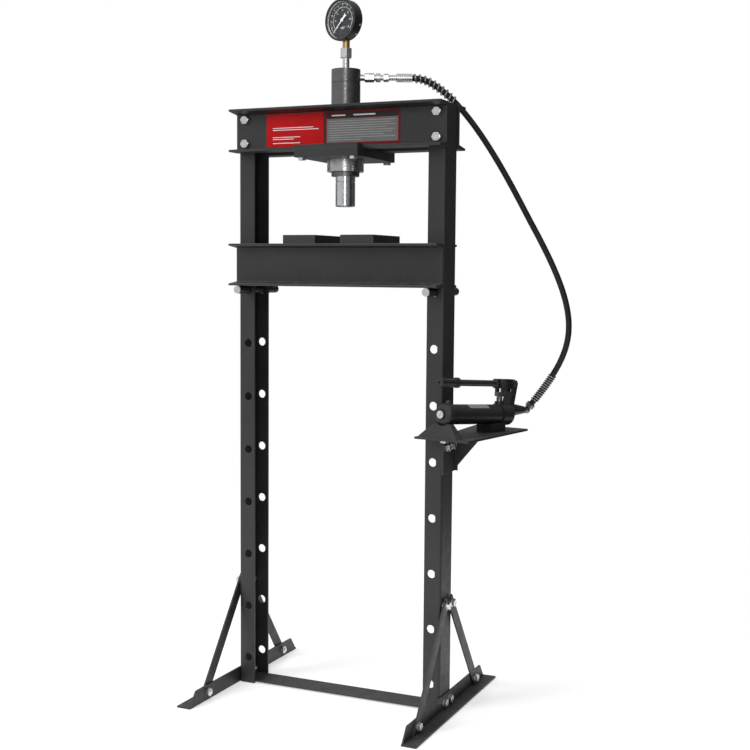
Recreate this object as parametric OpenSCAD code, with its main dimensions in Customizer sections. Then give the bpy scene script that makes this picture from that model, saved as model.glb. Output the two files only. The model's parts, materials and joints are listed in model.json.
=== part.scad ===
// Floor-standing hydraulic shop press with a hand pump on a side shelf.
// Millimetres. +X right, +Y back, +Z up. The origin is on the floor, on the ram's axis.

/* [Posts] */
// Height of the two posts
post_h = 1401; // [1390:1:1420]
// Width over the outer faces of the posts
frame_w = 533; // [529:1:539]
// Front-to-back depth of a post
post_depth = 72; // [72:0.5:74]
// Width of a post's flange
post_flange = 42; // [40:0.5:43]
// Wall thickness of a post
post_wall = 4.5; // [4:0.1:5]
// Diameter of the bed pin holes
pin_hole_d = 20; // [19.4:0.1:21]
// Height of the lowest pin hole
first_hole_z = 65; // [64:1:66]
// Distance between two pin holes
hole_pitch = 130; // [129.5:0.5:130.5]
// Number of pin holes in a flange
hole_count = 8; // [8:1:8]

/* [Beams] */
// Length of the two head beams
head_len = 539; // [534:1:545]
// Length of the two bed beams
bed_len = 534; // [528:1:539]
// Height of a beam's channel section
beam_h = 100; // [98:1:100]
// Flange width of the channel section
beam_flange = 44.5; // [43:0.5:45]
// Web thickness of the channel section
beam_web = 5.5; // [5:0.1:6]
// Flange thickness at the web
flange_root = 10; // [9:0.5:10.5]
// Flange thickness at the tip
flange_toe = 5; // [4.5:0.5:5]

/* [Bed] */
// Diameter of the bed pins
bed_pin_d = 19; // [18:0.1:19.2]
// Width of an arbor plate
arbor_w = 84; // [80:1:84]
// Front-to-back length of an arbor plate
arbor_len = 156; // [140:1:160]
// Thickness of an arbor plate
arbor_t = 20; // [16:1:20]
// Gap between the two arbor plates
arbor_gap = 65; // [60:1:66]

/* [Feet] */
// Length of a foot angle
foot_len = 530; // [500:5:540]
// Leg width of a foot angle
foot_leg = 36; // [34:1:38]
// Thickness of the feet, braces and cross bar
strap_t = 4; // [3:0.5:4]
// Width of a brace
brace_w = 28; // [24:1:30]
// Height of the upper brace bolts
brace_top_z = 250; // [230:1:270]

/* [Cylinder] */
// Outside diameter of the cylinder
barrel_d = 68; // [66:0.5:68]
// Bore of the cylinder
barrel_bore = 56; // [55:0.5:57]
// Diameter of the ram
ram_d = 46.5; // [44:0.5:47]
// Height of the cylinder's top face
cylinder_top_z = 1490; // [1488:1:1494]
// Height of the ram's nose when it is drawn in
nose_z = 1172; // [1168:1:1176]
// Outside diameter of the ring nut
ring_nut_d = 86.5; // [82:0.5:90]
// Size of the support plate in X
support_w = 160; // [156:1:170]
// Size of the support plate in Y
support_len = 214; // [214:1:220]
// Thickness of the support plate
support_t = 20; // [20:1:20]

/* [Gauge] */
// Diameter of the gauge case
gauge_d = 94; // [93:1:95]
// Height of the gauge's centre
gauge_z = 1602; // [1601:1:1603]
// Turn of the gauge's face about the cylinder's axis
gauge_yaw = -17; // [-45:1:45]
// Front-to-back depth of the gauge case
gauge_depth = 29; // [29:1:32]

/* [Pump] */
// Height of the pump shelf's upper face
shelf_z = 650; // [648:1:652]
// Diameter of the oil reservoir tube
reservoir_d = 46; // [45:0.5:47]
// Direction of the pump's axis about Z
pump_yaw = 68.7; // [67:0.1:70]
// Fall of the pump's axis towards its outlet
pump_tilt = 4; // [3.8:0.1:4.2]
// Height of the lever's pins over the pump's axis
lever_h = 72; // [72:1:76]
// Distance between the lever's two pins
pin_spacing = 42; // [42:0.5:42]

/* [Hose] */
// Outside diameter of the hose
hose_d = 14; // [13:0.5:14]
// Wire diameter of the hose's spring guards
guard_wire_d = 2.2; // [1.8:0.1:2.2]

/* [Hidden] */
$fn = 64;

// Overrun of a cutting shape past the face that it cuts
cut = 1;
// Radial clearance of a running or screwed fit
fit = 0.05;
// Gap between parts that slide past each other
slide_gap = 0.3;

// Posts
post_x = frame_w / 2;
post_y = post_depth / 2;
flange_x = post_x - post_flange / 2;
pin_x = flange_x - 3.5;
post_corner_r = 6;

// Beams
head_z = post_h - beam_h;
head_mid_z = post_h - beam_h / 2;
head_bolt_x = flange_x + 0.5;
head_bolt_dz = 28.5;
head_tip_y = post_y + beam_flange;
bed_web_y = post_y + slide_gap;
top_hole_z = first_hole_z + hole_pitch * (hole_count - 1);
bed_z = top_hole_z + bed_pin_d / 2 + 0.1;
bed_top_z = bed_z + beam_h;
bed_pin_front_y = -90;
bed_pin_back_y = 103;
// The right arbor plate stands just clear of the ram's way down
arbor_mid_x = ram_d / 2 + 0.75 - arbor_gap / 2;
// The bed sits a little to the left, and its back beam is the shorter one
bed_mid_x = -4;
back_bed_len = bed_len - 22;

// Fasteners: [shank diameter, size across flats, head height, nut height, hole diameter]
M12 = [12, 19, 7.5, 10, 13];
M10 = [10, 17, 6.4, 8, 11];
washer_d = 20;
washer_t = 2.5;
// Length of a bolt's end past its nut
bolt_end = 3;
// Length of a bore that clears every bolt, and how far it starts behind the seat
bore_len = 60;
bore_start = -40;

// Feet and braces
base_bolt_y = 17;
base_bolt_z = 19;
brace_foot_y = 187;
brace_end = 14;
bar_half_y = post_y - post_wall - 0.5;
bar_z = 3;

// Press cylinder
support_z = head_z - support_t;
ring_nut_h = 28;
barrel_z = support_z - ring_nut_h;
cap_z = cylinder_top_z - 32;
cap_spigot = 12;
collar_h = 10.5;
collar_d = 66;
gland_h = 19;
piston_z = 1425;
piston_h = 15;
piston_neck_d = 42;
seal_d = 49;
seal_h = 6;
seal_z = piston_z + (piston_h - seal_h) / 2;
spring_bore_d = 34;
spring_floor_z = 1262;
nose_h = 59;
nose_stub_d = 24;
nose_stub_h = 19;
clamp_h = 8.4;
clamp_x = 65;
clamp_y = 95;
port_z = 1472;
port_yaw = 24;
port_d = 13;
port_r = barrel_d / 2;
adapter_end = 70;
barb_d = 5;
hose_bore_d = 6;
// Length of hose inside its upper and its lower fitting
hose_inset = 30;
low_inset = 8.5;

// Gauge, along the axis of its stem and then in its own frame with the face at -Y;
// the needle starts needle_zero degrees clockwise from the right
adapter_hex_z = 1517;
adapter_top_z = 1539;
gauge_r = gauge_d / 2;
gauge_front_y = -19;
gauge_wall = 1.5;
dial_y = -12;
dial_t = 1;
stem_d = 17;
block_w = 14;
block_rise = 3;
block_top = -30;
block_y = dial_y + dial_t;
works_top = 11;
spindle_d = 3;
works_t = 6;
bezel_r = gauge_r + 1;
glass_t = 2;
glass_y = gauge_front_y - 0.2 - glass_t;
needle_zero = 135;

// Pump, in a frame with X along its axis, from its end cap towards its outlet
pump_at = [278.5, -75, 702];
cap_r = 25.5;
cap_len = 32;
tube_start = 14;
plug_bore_d = 12;
tube_end = 182;
head_start = 192;
head_end = 228;
pump_head_r = 26;
plunger_x = 199;
fulcrum_x = plunger_x + pin_spacing;
lever_pin_d = 10;
tongue_t = 12;
fork_gap = 6.3;
fork_w = 12;
fork_t = 4.5;
fork_eye_d = 21;
crotch_z = lever_h - 20;
ear_r = 9;
ear_outer = 12;
plunger_d = 14;
bore_floor = -14;
outlet_dz = 10;
outlet_end = 289;
outlet_tip = 303;
outlet_thread = 12;
passage_d = 4;
ball_d = 8;
ball_lift = 0.02;
suction_floor = bore_floor - 9;
delivery_x = 221;
gallery_z = -8;
release_x = 214;
release_d = 10;
near_stand_x = -2;
far_stand_x = 172;
stand_tap = 10;
near_bolt_y = -11;
far_bolt_y = 13;

// Shelf
shelf_t = 5;
shelf_size = [140, 285];
shelf_yaw = -10;
shelf_mid = [311.8, 39.5];
bracket_h = 86;
bracket_z = shelf_z - shelf_t - bracket_h;
bracket_bolt_y = 16;
bracket_bolt_z = shelf_z - 29;

// Directions and points of the hose
function unit(v) = v / norm(v);
function yawed(r, a, z) = [r * cos(a), r * sin(a), z];
// Point of the pump's frame in the press's frame
function pump_point(p) = pump_at + [
  cos(pump_yaw) * (p.x * cos(pump_tilt) + p.z * sin(pump_tilt)) - sin(pump_yaw) * p.y,
  sin(pump_yaw) * (p.x * cos(pump_tilt) + p.z * sin(pump_tilt)) + cos(pump_yaw) * p.y,
  p.z * cos(pump_tilt) - p.x * sin(pump_tilt)
];
hose_top_dir = yawed(1, port_yaw, 0);
hose_low_dir = unit([0.62, 0, 0.785]);
sleeve_end = 155;
elbow = pump_point([outlet_tip, 0, outlet_dz]);
hose_top = [0, 0, port_z] + sleeve_end * hose_top_dir;
low_nut_end = 20;
hose_low = elbow + (low_nut_end + 1) * hose_low_dir;
hose_mid = [411, 165, 1127];
// Control points of two Bezier spans, from the cylinder to the pump
hose_ctrl = [
  hose_top, hose_top + 116 * hose_top_dir, [368, 161, 1202], hose_mid,
  [534, 176, 910], hose_low + 179 * hose_low_dir, hose_low
];
// Share of the hose that each guard covers, in spans
guard_top_end = 0.29;
guard_low_start = 1.82;

// ---------- shared shapes ----------

// Bolt with its head on +Z, seated at z = 0
module hex_bolt(size, length) {
  cylinder(d = size[1] / cos(30), h = size[2], $fn = 6);
  translate([0, 0, -length]) cylinder(d = size[0], h = length + size[2] / 2);
}

module hex_nut(size) {
  difference() {
    cylinder(d = size[1] / cos(30), h = size[3], $fn = 6);
    translate([0, 0, -cut]) cylinder(r = size[0] / 2 + fit, h = size[3] + 2 * cut);
  }
}

module ring(outer_d, inner_d, h) {
  difference() {
    cylinder(d = outer_d, h = h);
    translate([0, 0, -cut]) cylinder(d = inner_d, h = h + 2 * cut);
  }
}

// Round or hexagonal bar from a to b along the local axis
module span(d, a, b) {
  translate([0, 0, a]) cylinder(d = d, h = b - a);
}

module hex_span(flats, a, b) {
  translate([0, 0, a]) cylinder(d = flats / cos(30), h = b - a, $fn = 6);
}

// Round bar whose two ends are chamfered
module pin_bar(d, h, chamfer) {
  cylinder(d1 = d - 2 * chamfer, d2 = d, h = chamfer);
  translate([0, 0, chamfer]) cylinder(d = d, h = h - 2 * chamfer);
  translate([0, 0, h - chamfer]) cylinder(d1 = d, d2 = d - 2 * chamfer, h = chamfer);
}

// Turns +Z to the direction d
module along(d) {
  rotate([0, acos(d.z / norm(d)), atan2(d.y, d.x)]) children();
}

// Round section swept along points; refs[i] is never parallel to the path at point i
module wire(points, refs, r, sides) {
  last = len(points) - 1;
  rings = [
    for (i = [0 : last])
      let (
        t = unit(points[min(i + 1, last)] - points[max(i - 1, 0)]),
        u = unit(cross(refs[i], t)),
        v = cross(t, u)
      )
      for (k = [0 : sides - 1])
        points[i] + r * (cos(360 * k / sides) * u + sin(360 * k / sides) * v)
  ];
  start_cap = [for (k = [0 : sides - 1]) k];
  end_cap = [for (k = [sides - 1 : -1 : 0]) last * sides + k];
  skin = [
    for (i = [0 : last - 1], k = [0 : sides - 1])
      let (a = i * sides + k, b = i * sides + (k + 1) % sides)
      each [[a, a + sides, b], [b, a + sides, b + sides]]
  ];
  polyhedron(points = rings, faces = concat([start_cap], skin, [end_cap]));
}

// ---------- frame ----------

// Channel section of a post: web outside, open towards the middle
module post_section() {
  r = post_corner_r;
  difference() {
    union() {
      translate([r, -post_y]) square([post_flange - r, post_depth]);
      translate([0, r - post_y]) square([r, post_depth - 2 * r]);
      for (s = [-1, 1]) translate([r, s * (post_y - r)]) circle(r);
    }
    translate([post_wall, post_wall - post_y])
      square([post_flange, post_depth - 2 * post_wall]);
  }
}

module at_head_bolts() {
  for (side = [-1, 1], face = [-1, 1], row = [-1, 1])
    translate([side * head_bolt_x, face * (post_y + beam_web), head_mid_z + row * head_bolt_dz])
      rotate([-90 * face, 0, 0]) children();
}

// Bolt places on the outer face of one post: low ones hold the foot, high ones the braces
module at_web_bolts(side, z, x, y = base_bolt_y) {
  for (s = [-1, 1])
    translate([side * x, s * y, z]) rotate([0, 90 * side, 0]) children();
}

module at_brace_feet(side, x) {
  at_web_bolts(side, base_bolt_z, x, brace_foot_y) children();
}

module bolt_bore(size) {
  translate([0, 0, bore_start]) cylinder(d = size[4], h = bore_len);
}

module post(side) {
  difference() {
    translate([side * post_x, 0, 0]) rotate([0, 0, side > 0 ? 180 : 0])
      linear_extrude(post_h) post_section();
    for (i = [0 : hole_count - 1])
      translate([side * pin_x, -post_depth, first_hole_z + i * hole_pitch]) rotate([-90, 0, 0])
        cylinder(d = pin_hole_d, h = 2 * post_depth);
    at_head_bolts() bolt_bore(M12);
    at_web_bolts(side, base_bolt_z, post_x) bolt_bore(M10);
    at_web_bolts(side, brace_top_z, post_x) bolt_bore(M10);
    if (side > 0) at_bracket_bolts() bolt_bore(M10);
  }
}

module left_post() {
  color("dimgray") post(-1);
}

module right_post() {
  color("dimgray") post(1);
}

// Rolled channel with tapered flanges, its web on the line y = web_y and its flanges outwards
module beam(len, web_y, z) {
  tip = web_y + beam_flange;
  translate([-len / 2, 0, z]) rotate([90, 0, 90]) linear_extrude(len)
    polygon([
      [web_y, 0], [tip, 0], [tip, flange_toe], [web_y + beam_web, flange_root],
      [web_y + beam_web, beam_h - flange_root], [tip, beam_h - flange_toe],
      [tip, beam_h], [web_y, beam_h]
    ]);
}

module head_beam() {
  difference() {
    beam(head_len, post_y, head_z);
    at_head_bolts() bolt_bore(M12);
  }
}

module back_head_beam() {
  color("dimgray") head_beam();
}

module front_head_beam() {
  color("dimgray") mirror([0, 1, 0]) head_beam();
}

module m12_bolts() {
  color("silver") at_head_bolts() hex_bolt(M12, beam_web + post_wall + M12[3] + bolt_end);
}

module m12_nuts() {
  color("silver") at_head_bolts() translate([0, 0, -beam_web - post_wall - M12[3]]) hex_nut(M12);
}

module washers() {
  color("silver") {
    for (side = [-1, 1]) {
      at_web_bolts(side, base_bolt_z, post_x + strap_t) ring(washer_d, M10[4], washer_t);
      at_brace_feet(side, post_x + 2 * strap_t) ring(washer_d, M10[4], washer_t);
      at_web_bolts(side, brace_top_z, post_x + 2 * strap_t) ring(washer_d, M10[4], washer_t);
      // Spacers that carry the braces level with the foot
      at_web_bolts(side, brace_top_z, post_x) ring(washer_d, M10[4], strap_t);
    }
    at_bracket_bolts() ring(washer_d, M10[4], washer_t);
  }
}

// Grip is the thickness that a bolt holds, washer left out
module seated_m10(grip) {
  translate([0, 0, washer_t]) hex_bolt(M10, washer_t + grip + M10[3] + bolt_end);
}

module m10_bolts() {
  color("silver") {
    for (side = [-1, 1]) {
      at_web_bolts(side, base_bolt_z, post_x + strap_t) seated_m10(2 * strap_t + post_wall);
      at_brace_feet(side, post_x + 2 * strap_t) seated_m10(2 * strap_t);
      at_web_bolts(side, brace_top_z, post_x + 2 * strap_t) seated_m10(2 * strap_t + post_wall);
    }
    at_bracket_bolts() seated_m10(strap_t + post_wall);
    at_clamps() translate([0, 0, support_z]) mirror([0, 0, 1])
      hex_bolt(M10, support_t + clamp_h - cut);
    at_pump_bolts() translate([0, 0, shelf_z - shelf_t]) mirror([0, 0, 1])
      hex_bolt(M10, shelf_t + stand_tap);
  }
}

module m10_nuts() {
  color("silver") {
    for (side = [-1, 1]) {
      at_web_bolts(side, base_bolt_z, post_x - post_wall - strap_t - M10[3]) hex_nut(M10);
      at_brace_feet(side, post_x - M10[3]) hex_nut(M10);
      at_web_bolts(side, brace_top_z, post_x - post_wall - M10[3]) hex_nut(M10);
    }
    at_bracket_bolts() translate([0, 0, -strap_t - post_wall - M10[3]]) hex_nut(M10);
  }
}

// Foot angle with sloping ends on its upright leg
module foot(side) {
  half = foot_len / 2;
  slope = 28;
  difference() {
    union() {
      translate([side > 0 ? post_x : -post_x - strap_t, 0, 0]) rotate([90, 0, 90])
        linear_extrude(strap_t)
          polygon([[-half, 0], [half, 0], [half - slope, foot_leg], [slope - half, foot_leg]]);
      translate([side > 0 ? post_x : -post_x - foot_leg, -half, 0])
        cube([foot_leg, foot_len, strap_t]);
    }
    at_web_bolts(side, base_bolt_z, post_x) bolt_bore(M10);
    at_brace_feet(side, post_x) bolt_bore(M10);
  }
}

module left_foot() {
  color("dimgray") foot(-1);
}

module right_foot() {
  color("dimgray") foot(1);
}

// Flat bar from the foot up to the post, trimmed over the foot and on the post's middle line
module brace() {
  rise = brace_top_z - base_bolt_z;
  run = brace_foot_y - base_bolt_y;
  difference() {
    intersection() {
      translate([0, brace_foot_y, base_bolt_z]) rotate([90 - atan2(rise, run), 0, 0])
        translate([0, -brace_w / 2, -2 * brace_end])
          cube([strap_t, brace_w, norm([rise, run]) + 3 * brace_end]);
      translate([0, 0.5, strap_t + 1]) cube([strap_t, foot_len, brace_top_z + brace_end]);
    }
    for (p = [[brace_foot_y, base_bolt_z], [base_bolt_y, brace_top_z]])
      translate([-cut, p[0], p[1]]) rotate([0, 90, 0]) cylinder(d = M10[4], h = strap_t + 2 * cut);
  }
}

module braces() {
  color("dimgray") for (side = [0, 1], back = [0, 1])
    mirror([side, 0, 0]) mirror([0, back, 0]) translate([post_x + strap_t, 0, 0]) brace();
}

// Flat bar between the posts, with a turned-up tab bolted inside each
module cross_bar() {
  end_x = post_x - post_wall;
  color("gray") difference() {
    union() {
      translate([-end_x, -bar_half_y, bar_z]) cube([2 * end_x, 2 * bar_half_y, strap_t]);
      for (x = [-end_x, end_x - strap_t])
        translate([x, -bar_half_y, bar_z]) cube([strap_t, 2 * bar_half_y, foot_leg]);
    }
    for (side = [-1, 1]) at_web_bolts(side, base_bolt_z, post_x) bolt_bore(M10);
  }
}

// ---------- bed ----------

module back_bed_beam() {
  color("dimgray") translate([bed_mid_x, 0, 0]) beam(back_bed_len, bed_web_y, bed_z);
}

module front_bed_beam() {
  color("dimgray") translate([bed_mid_x, 0, 0]) mirror([0, 1, 0]) beam(bed_len, bed_web_y, bed_z);
}

// Plates that join the two bed beams just inside the posts
module bed_spacers() {
  spacer_t = 8;
  inner_x = post_x - post_flange - 2;
  color("dimgray") for (x = [-inner_x, inner_x - spacer_t])
    translate([x, -bed_web_y, bed_z + 5]) cube([spacer_t, 2 * bed_web_y, beam_h - 10]);
}

module bed_pin(side) {
  translate([side * pin_x, bed_pin_front_y, top_hole_z]) rotate([-90, 0, 0])
    pin_bar(bed_pin_d, bed_pin_back_y - bed_pin_front_y, 1.5);
}

module left_bed_pin() {
  color("lightgray") bed_pin(-1);
}

module right_bed_pin() {
  color("lightgray") bed_pin(1);
}

module arbor_plate(x) {
  translate([x, -arbor_len / 2, bed_top_z]) cube([arbor_w, arbor_len, arbor_t]);
}

module left_arbor_plate() {
  color("dimgray") arbor_plate(arbor_mid_x - arbor_gap / 2 - arbor_w);
}

module right_arbor_plate() {
  color("dimgray") arbor_plate(arbor_mid_x + arbor_gap / 2);
}

// ---------- cylinder ----------

module at_clamps() {
  for (x = [-clamp_x, clamp_x], y = [-clamp_y, clamp_y]) translate([x, y, 0]) children();
}

module support_plate() {
  color("dimgray") difference() {
    translate([-support_w / 2, -support_len / 2, support_z])
      cube([support_w, support_len, support_t]);
    translate([0, 0, support_z - cut]) cylinder(d = barrel_d + 0.2, h = support_t + 2 * cut);
    at_clamps() translate([0, 0, support_z - cut]) cylinder(d = M10[4], h = support_t + 2 * cut);
  }
}

// Bars on the support plate that hook over the head beams' lower flanges
module clamp_bars() {
  nose_y = head_tip_y - 4;
  heel_y = support_len / 2;
  toe_z = head_z + flange_toe + 0.8;
  color("dimgray") for (back = [0, 1]) mirror([0, back, 0])
    difference() {
      union() {
        translate([-support_w / 2, -heel_y, head_z])
          cube([support_w, heel_y - head_tip_y - slide_gap, clamp_h]);
        translate([-support_w / 2, -heel_y, toe_z])
          cube([support_w, heel_y - nose_y, head_z + clamp_h - toe_z]);
      }
      for (x = [-clamp_x, clamp_x]) translate([x, -clamp_y, head_z - cut])
        cylinder(r = M10[0] / 2 + fit, h = clamp_h + 2 * cut);
    }
}

module cylinder_barrel() {
  shoulder_d = 71;
  shoulder_h = 5;
  color("gray") difference() {
    union() {
      translate([0, 0, barrel_z]) cylinder(d = barrel_d, h = cap_z - barrel_z);
      translate([0, 0, head_z]) cylinder(d = shoulder_d, h = shoulder_h);
    }
    translate([0, 0, barrel_z - cut]) cylinder(d = barrel_bore, h = cap_z - barrel_z + 2 * cut);
  }
}

module cylinder_cap() {
  groove = 1.5;
  color("gray") difference() {
    union() {
      translate([0, 0, cap_z]) cylinder(d = barrel_d - 2 * groove, h = groove);
      translate([0, 0, cap_z + groove]) cylinder(d = barrel_d, h = cylinder_top_z - cap_z - groove);
      translate([0, 0, cap_z - cap_spigot]) cylinder(r = barrel_bore / 2 - fit, h = cap_spigot + cut);
    }
    translate([0, 0, cap_z - cap_spigot - cut])
      cylinder(d = port_d, h = cylinder_top_z - cap_z + cap_spigot + 2 * cut);
    at_port() cylinder(d = port_d, h = barrel_d);
  }
}

module ring_nut() {
  notch_w = 8;
  notch_depth = 3;
  color("silver") difference() {
    translate([0, 0, barrel_z]) ring(ring_nut_d, barrel_d + 2 * fit, ring_nut_h);
    for (a = [45 : 90 : 315]) rotate([0, 0, a])
      translate([ring_nut_d / 2 - notch_depth, -notch_w / 2, barrel_z - cut])
        cube([2 * notch_depth, notch_w, ring_nut_h * 0.5]);
  }
}

module gland_collar() {
  color("gray") difference() {
    union() {
      translate([0, 0, barrel_z - collar_h]) cylinder(d = collar_d, h = collar_h);
      translate([0, 0, barrel_z - cut]) cylinder(r = barrel_bore / 2 - fit, h = gland_h + cut);
    }
    translate([0, 0, barrel_z - collar_h - cut])
      cylinder(r = ram_d / 2 + fit, h = collar_h + gland_h + 2 * cut);
  }
}

module ram() {
  body_z = nose_z + nose_h;
  color("silver") difference() {
    union() {
      translate([0, 0, body_z]) cylinder(d = ram_d, h = piston_z - body_z);
      translate([0, 0, piston_z - cut]) cylinder(d = piston_neck_d, h = piston_h + cut);
    }
    translate([0, 0, spring_floor_z]) cylinder(d = spring_bore_d, h = piston_z + piston_h);
    translate([0, 0, body_z - cut]) cylinder(r = nose_stub_d / 2 + fit, h = nose_stub_h + 2 * cut);
  }
}

module ram_nose() {
  groove = 2;
  edge = 2;
  color("silver") {
    translate([0, 0, nose_z]) cylinder(d1 = ram_d - 2 * edge, d2 = ram_d, h = edge);
    translate([0, 0, nose_z + edge]) cylinder(d = ram_d, h = nose_h - groove - edge);
    translate([0, 0, nose_z + nose_h - groove - cut]) cylinder(d = ram_d - groove, h = groove + cut);
    translate([0, 0, nose_z + nose_h - cut]) cylinder(d = nose_stub_d, h = nose_stub_h + cut);
  }
}

module piston() {
  color("gray") difference() {
    translate([0, 0, piston_z]) ring(barrel_bore - 2 * fit, piston_neck_d + 2 * fit, piston_h);
    translate([0, 0, seal_z]) ring(barrel_bore + cut, seal_d, seal_h);
  }
}

module piston_seal() {
  color("black") translate([0, 0, seal_z + fit])
    ring(barrel_bore - fit, seal_d + 2 * fit, seal_h - 2 * fit);
}

// Tension spring that draws the ram back in
module return_spring() {
  spring_r = 13.5;
  spring_wire_r = 1.8;
  turns = 22;
  steps = 14;
  end_gap = 2 * spring_wire_r;
  low = spring_floor_z + end_gap;
  rise = cap_z - cap_spigot - end_gap - low;
  points = [
    for (i = [0 : turns * steps])
      yawed(spring_r, 360 * i / steps, low + rise * i / (turns * steps))
  ];
  color("gray") wire(points, [for (p = points) [0, 0, 1]], spring_wire_r, 6);
}

// ---------- gauge ----------

module at_gauge() {
  translate([0, 0, gauge_z]) rotate([0, 0, gauge_yaw]) children();
}

// Disc or ring in the gauge's frame, from y to y + t
module gauge_disc(r, y, t) {
  translate([0, y, 0]) rotate([-90, 0, 0]) cylinder(r = r, h = t);
}

module gauge_adapter() {
  neck_d = 16;
  hex_af = 25;
  socket = 14;
  thread_len = 16;
  color("silver") difference() {
    union() {
      span(port_d - 2 * fit, cylinder_top_z - thread_len, cylinder_top_z + cut);
      span(neck_d, cylinder_top_z, adapter_hex_z + cut);
      hex_span(hex_af, adapter_hex_z, adapter_top_z);
    }
    span(port_d + 2 * fit, adapter_top_z - socket, adapter_top_z + cut);
    span(barb_d, cylinder_top_z - thread_len - cut, adapter_top_z);
  }
}

// Brass stem, with the block and the plate that carry the gauge's works
module gauge_stem() {
  case_bottom = gauge_z - gauge_r;
  thread_len = 12;
  color("goldenrod") difference() {
    union() {
      span(port_d, adapter_top_z - thread_len, adapter_top_z + cut);
      span(stem_d, adapter_top_z, case_bottom + 2 * gauge_wall + cut);
      at_gauge() {
        translate([-block_w / 2, block_y, block_rise - gauge_r])
          cube([block_w, block_w / 2 - block_y, gauge_r + block_top - block_rise]);
        translate([-block_w / 2, block_y, block_top - cut])
          cube([block_w, works_t, works_top - block_top]);
      }
    }
    at_gauge() gauge_disc(spindle_d / 2 + fit, dial_y, block_w);
  }
}

module gauge_case() {
  color("black") difference() {
    at_gauge() difference() {
      gauge_disc(gauge_r, gauge_front_y, gauge_depth);
      gauge_disc(gauge_r - gauge_wall, gauge_front_y - cut, gauge_depth - gauge_wall + cut);
    }
    translate([0, 0, gauge_z - gauge_r - cut])
      cylinder(d = stem_d + 2 * slide_gap, h = 4 * gauge_wall);
  }
}

module gauge_bezel() {
  lip_t = 1.6;
  depth = 11;
  window_r = gauge_r - 5;
  color("black") at_gauge() difference() {
    gauge_disc(bezel_r, glass_y - lip_t, depth);
    gauge_disc(window_r, glass_y - lip_t - cut, depth);
    gauge_disc(gauge_r + fit, glass_y - fit, depth + cut);
  }
}

module gauge_glass() {
  color("white", 0.3) at_gauge() gauge_disc(gauge_r - fit, glass_y, glass_t);
}

module gauge_dial() {
  color("black") at_gauge() difference() {
    gauge_disc(gauge_r - gauge_wall - slide_gap, dial_y, dial_t);
    gauge_disc(spindle_d, dial_y - cut, dial_t + 2 * cut);
  }
}

// Needle at the scale's zero, low on the left
module gauge_needle() {
  needle_len = 37;
  tail_len = 18;
  hub_r = 4;
  hub_y = dial_y - 4;
  hub_t = 2;
  needle_t = 1;
  color("white") at_gauge() {
    gauge_disc(spindle_d / 2, hub_y, works_t + 3);
    gauge_disc(hub_r, hub_y, hub_t);
    translate([0, hub_y + (hub_t + needle_t) / 2, 0]) rotate([90, needle_zero, 0])
      linear_extrude(needle_t) polygon([
        [0, -1.6], [needle_len, -0.5], [needle_len, 0.5], [0, 1.6],
        [-tail_len, 3.4], [4 - tail_len, 0], [-tail_len, -3.4]
      ]);
  }
}

// Curved pressure tube that uncoils under pressure and turns the needle
module bourdon_tube() {
  tube_r = 33;
  tube_w = 8;
  tube_t = 3;
  wall = 0.6;
  color("goldenrod") at_gauge() translate([0, tube_w, 0]) rotate([90, 0, 0])
    rotate([0, 0, -77]) rotate_extrude(angle = 250) translate([tube_r, 0]) difference() {
      square([tube_t, tube_w]);
      translate([wall, wall]) square([tube_t - 2 * wall, tube_w - 2 * wall]);
    }
}

// Plain two-field plate on the front head beam
module front_label() {
  label_t = 0.5;
  label_x = [-188, 157];
  edge = 1.5;
  color("firebrick")
    translate([label_x[0], -post_y - beam_web - label_t, head_z + flange_root + edge])
      cube([label_x[1] - label_x[0], label_t, beam_h - 2 * flange_root - 2 * edge]);
}

// ---------- hose ----------

// +Z points out of the cap's oil port
module at_port() {
  translate([0, 0, port_z]) rotate([0, 90, port_yaw]) children();
}

module port_adapter() {
  collar_w = 15;
  hex_start = 44;
  hex_end = 66;
  thread_len = 12;
  color("silver") at_port() difference() {
    union() {
      span(port_d - 2 * fit, port_r - thread_len, port_r + cut);
      span(collar_w, port_r + fit, adapter_end);
      hex_span(M12[1], hex_start, hex_end);
    }
    span(barb_d, port_r - thread_len - cut, adapter_end + cut);
  }
}

module upper_hose_fitting() {
  nut_d = 21;
  nut_end = 81;
  neck_d = 13;
  hex_start = 88;
  hex_end = 100;
  sleeve_start = 118;
  sleeve_d = 20;
  barb_back = 6;
  color("silver") at_port() difference() {
    union() {
      span(nut_d, adapter_end, nut_end);
      span(neck_d, nut_end - cut, sleeve_start + cut);
      hex_span(M10[1], hex_start, hex_end);
      span(sleeve_d, sleeve_start, sleeve_end);
    }
    // Room for the hose's end around the barb
    difference() {
      span(hose_d + 2 * fit, sleeve_end - hose_inset - cut, sleeve_end + cut);
      span(barb_d, sleeve_start, sleeve_end - barb_back);
    }
    span(barb_d - 2, adapter_end - cut, sleeve_end);
  }
}

// Point of the hose's middle line; s runs from 0 at the cylinder to 2 at the pump
function hose_point(s) =
  let (k = min(floor(s), 1), t = s - k, c = hose_ctrl, i = 3 * k)
  pow(1 - t, 3) * c[i] + 3 * pow(1 - t, 2) * t * c[i + 1]
    + 3 * (1 - t) * t * t * c[i + 2] + pow(t, 3) * c[i + 3];

function hose_dir(s) = unit(hose_point(min(s + 0.01, 2)) - hose_point(max(s - 0.01, 0)));

// Middle line with a straight length inside each end fitting, drawn out by extra at both ends
module hose_sweep(d, extra, sides) {
  span_steps = 45;
  points = concat(
    [hose_top - (hose_inset + extra) * hose_top_dir],
    [for (i = [0 : 2 * span_steps]) hose_point(i / span_steps)],
    [hose_low - (low_inset + extra) * hose_low_dir]
  );
  wire(points, [for (p = points) [0, 1, 0]], d / 2, sides);
}

module hose() {
  color("black") difference() {
    hose_sweep(hose_d, 0, 12);
    hose_sweep(hose_bore_d, cut, 8);
  }
}

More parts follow.
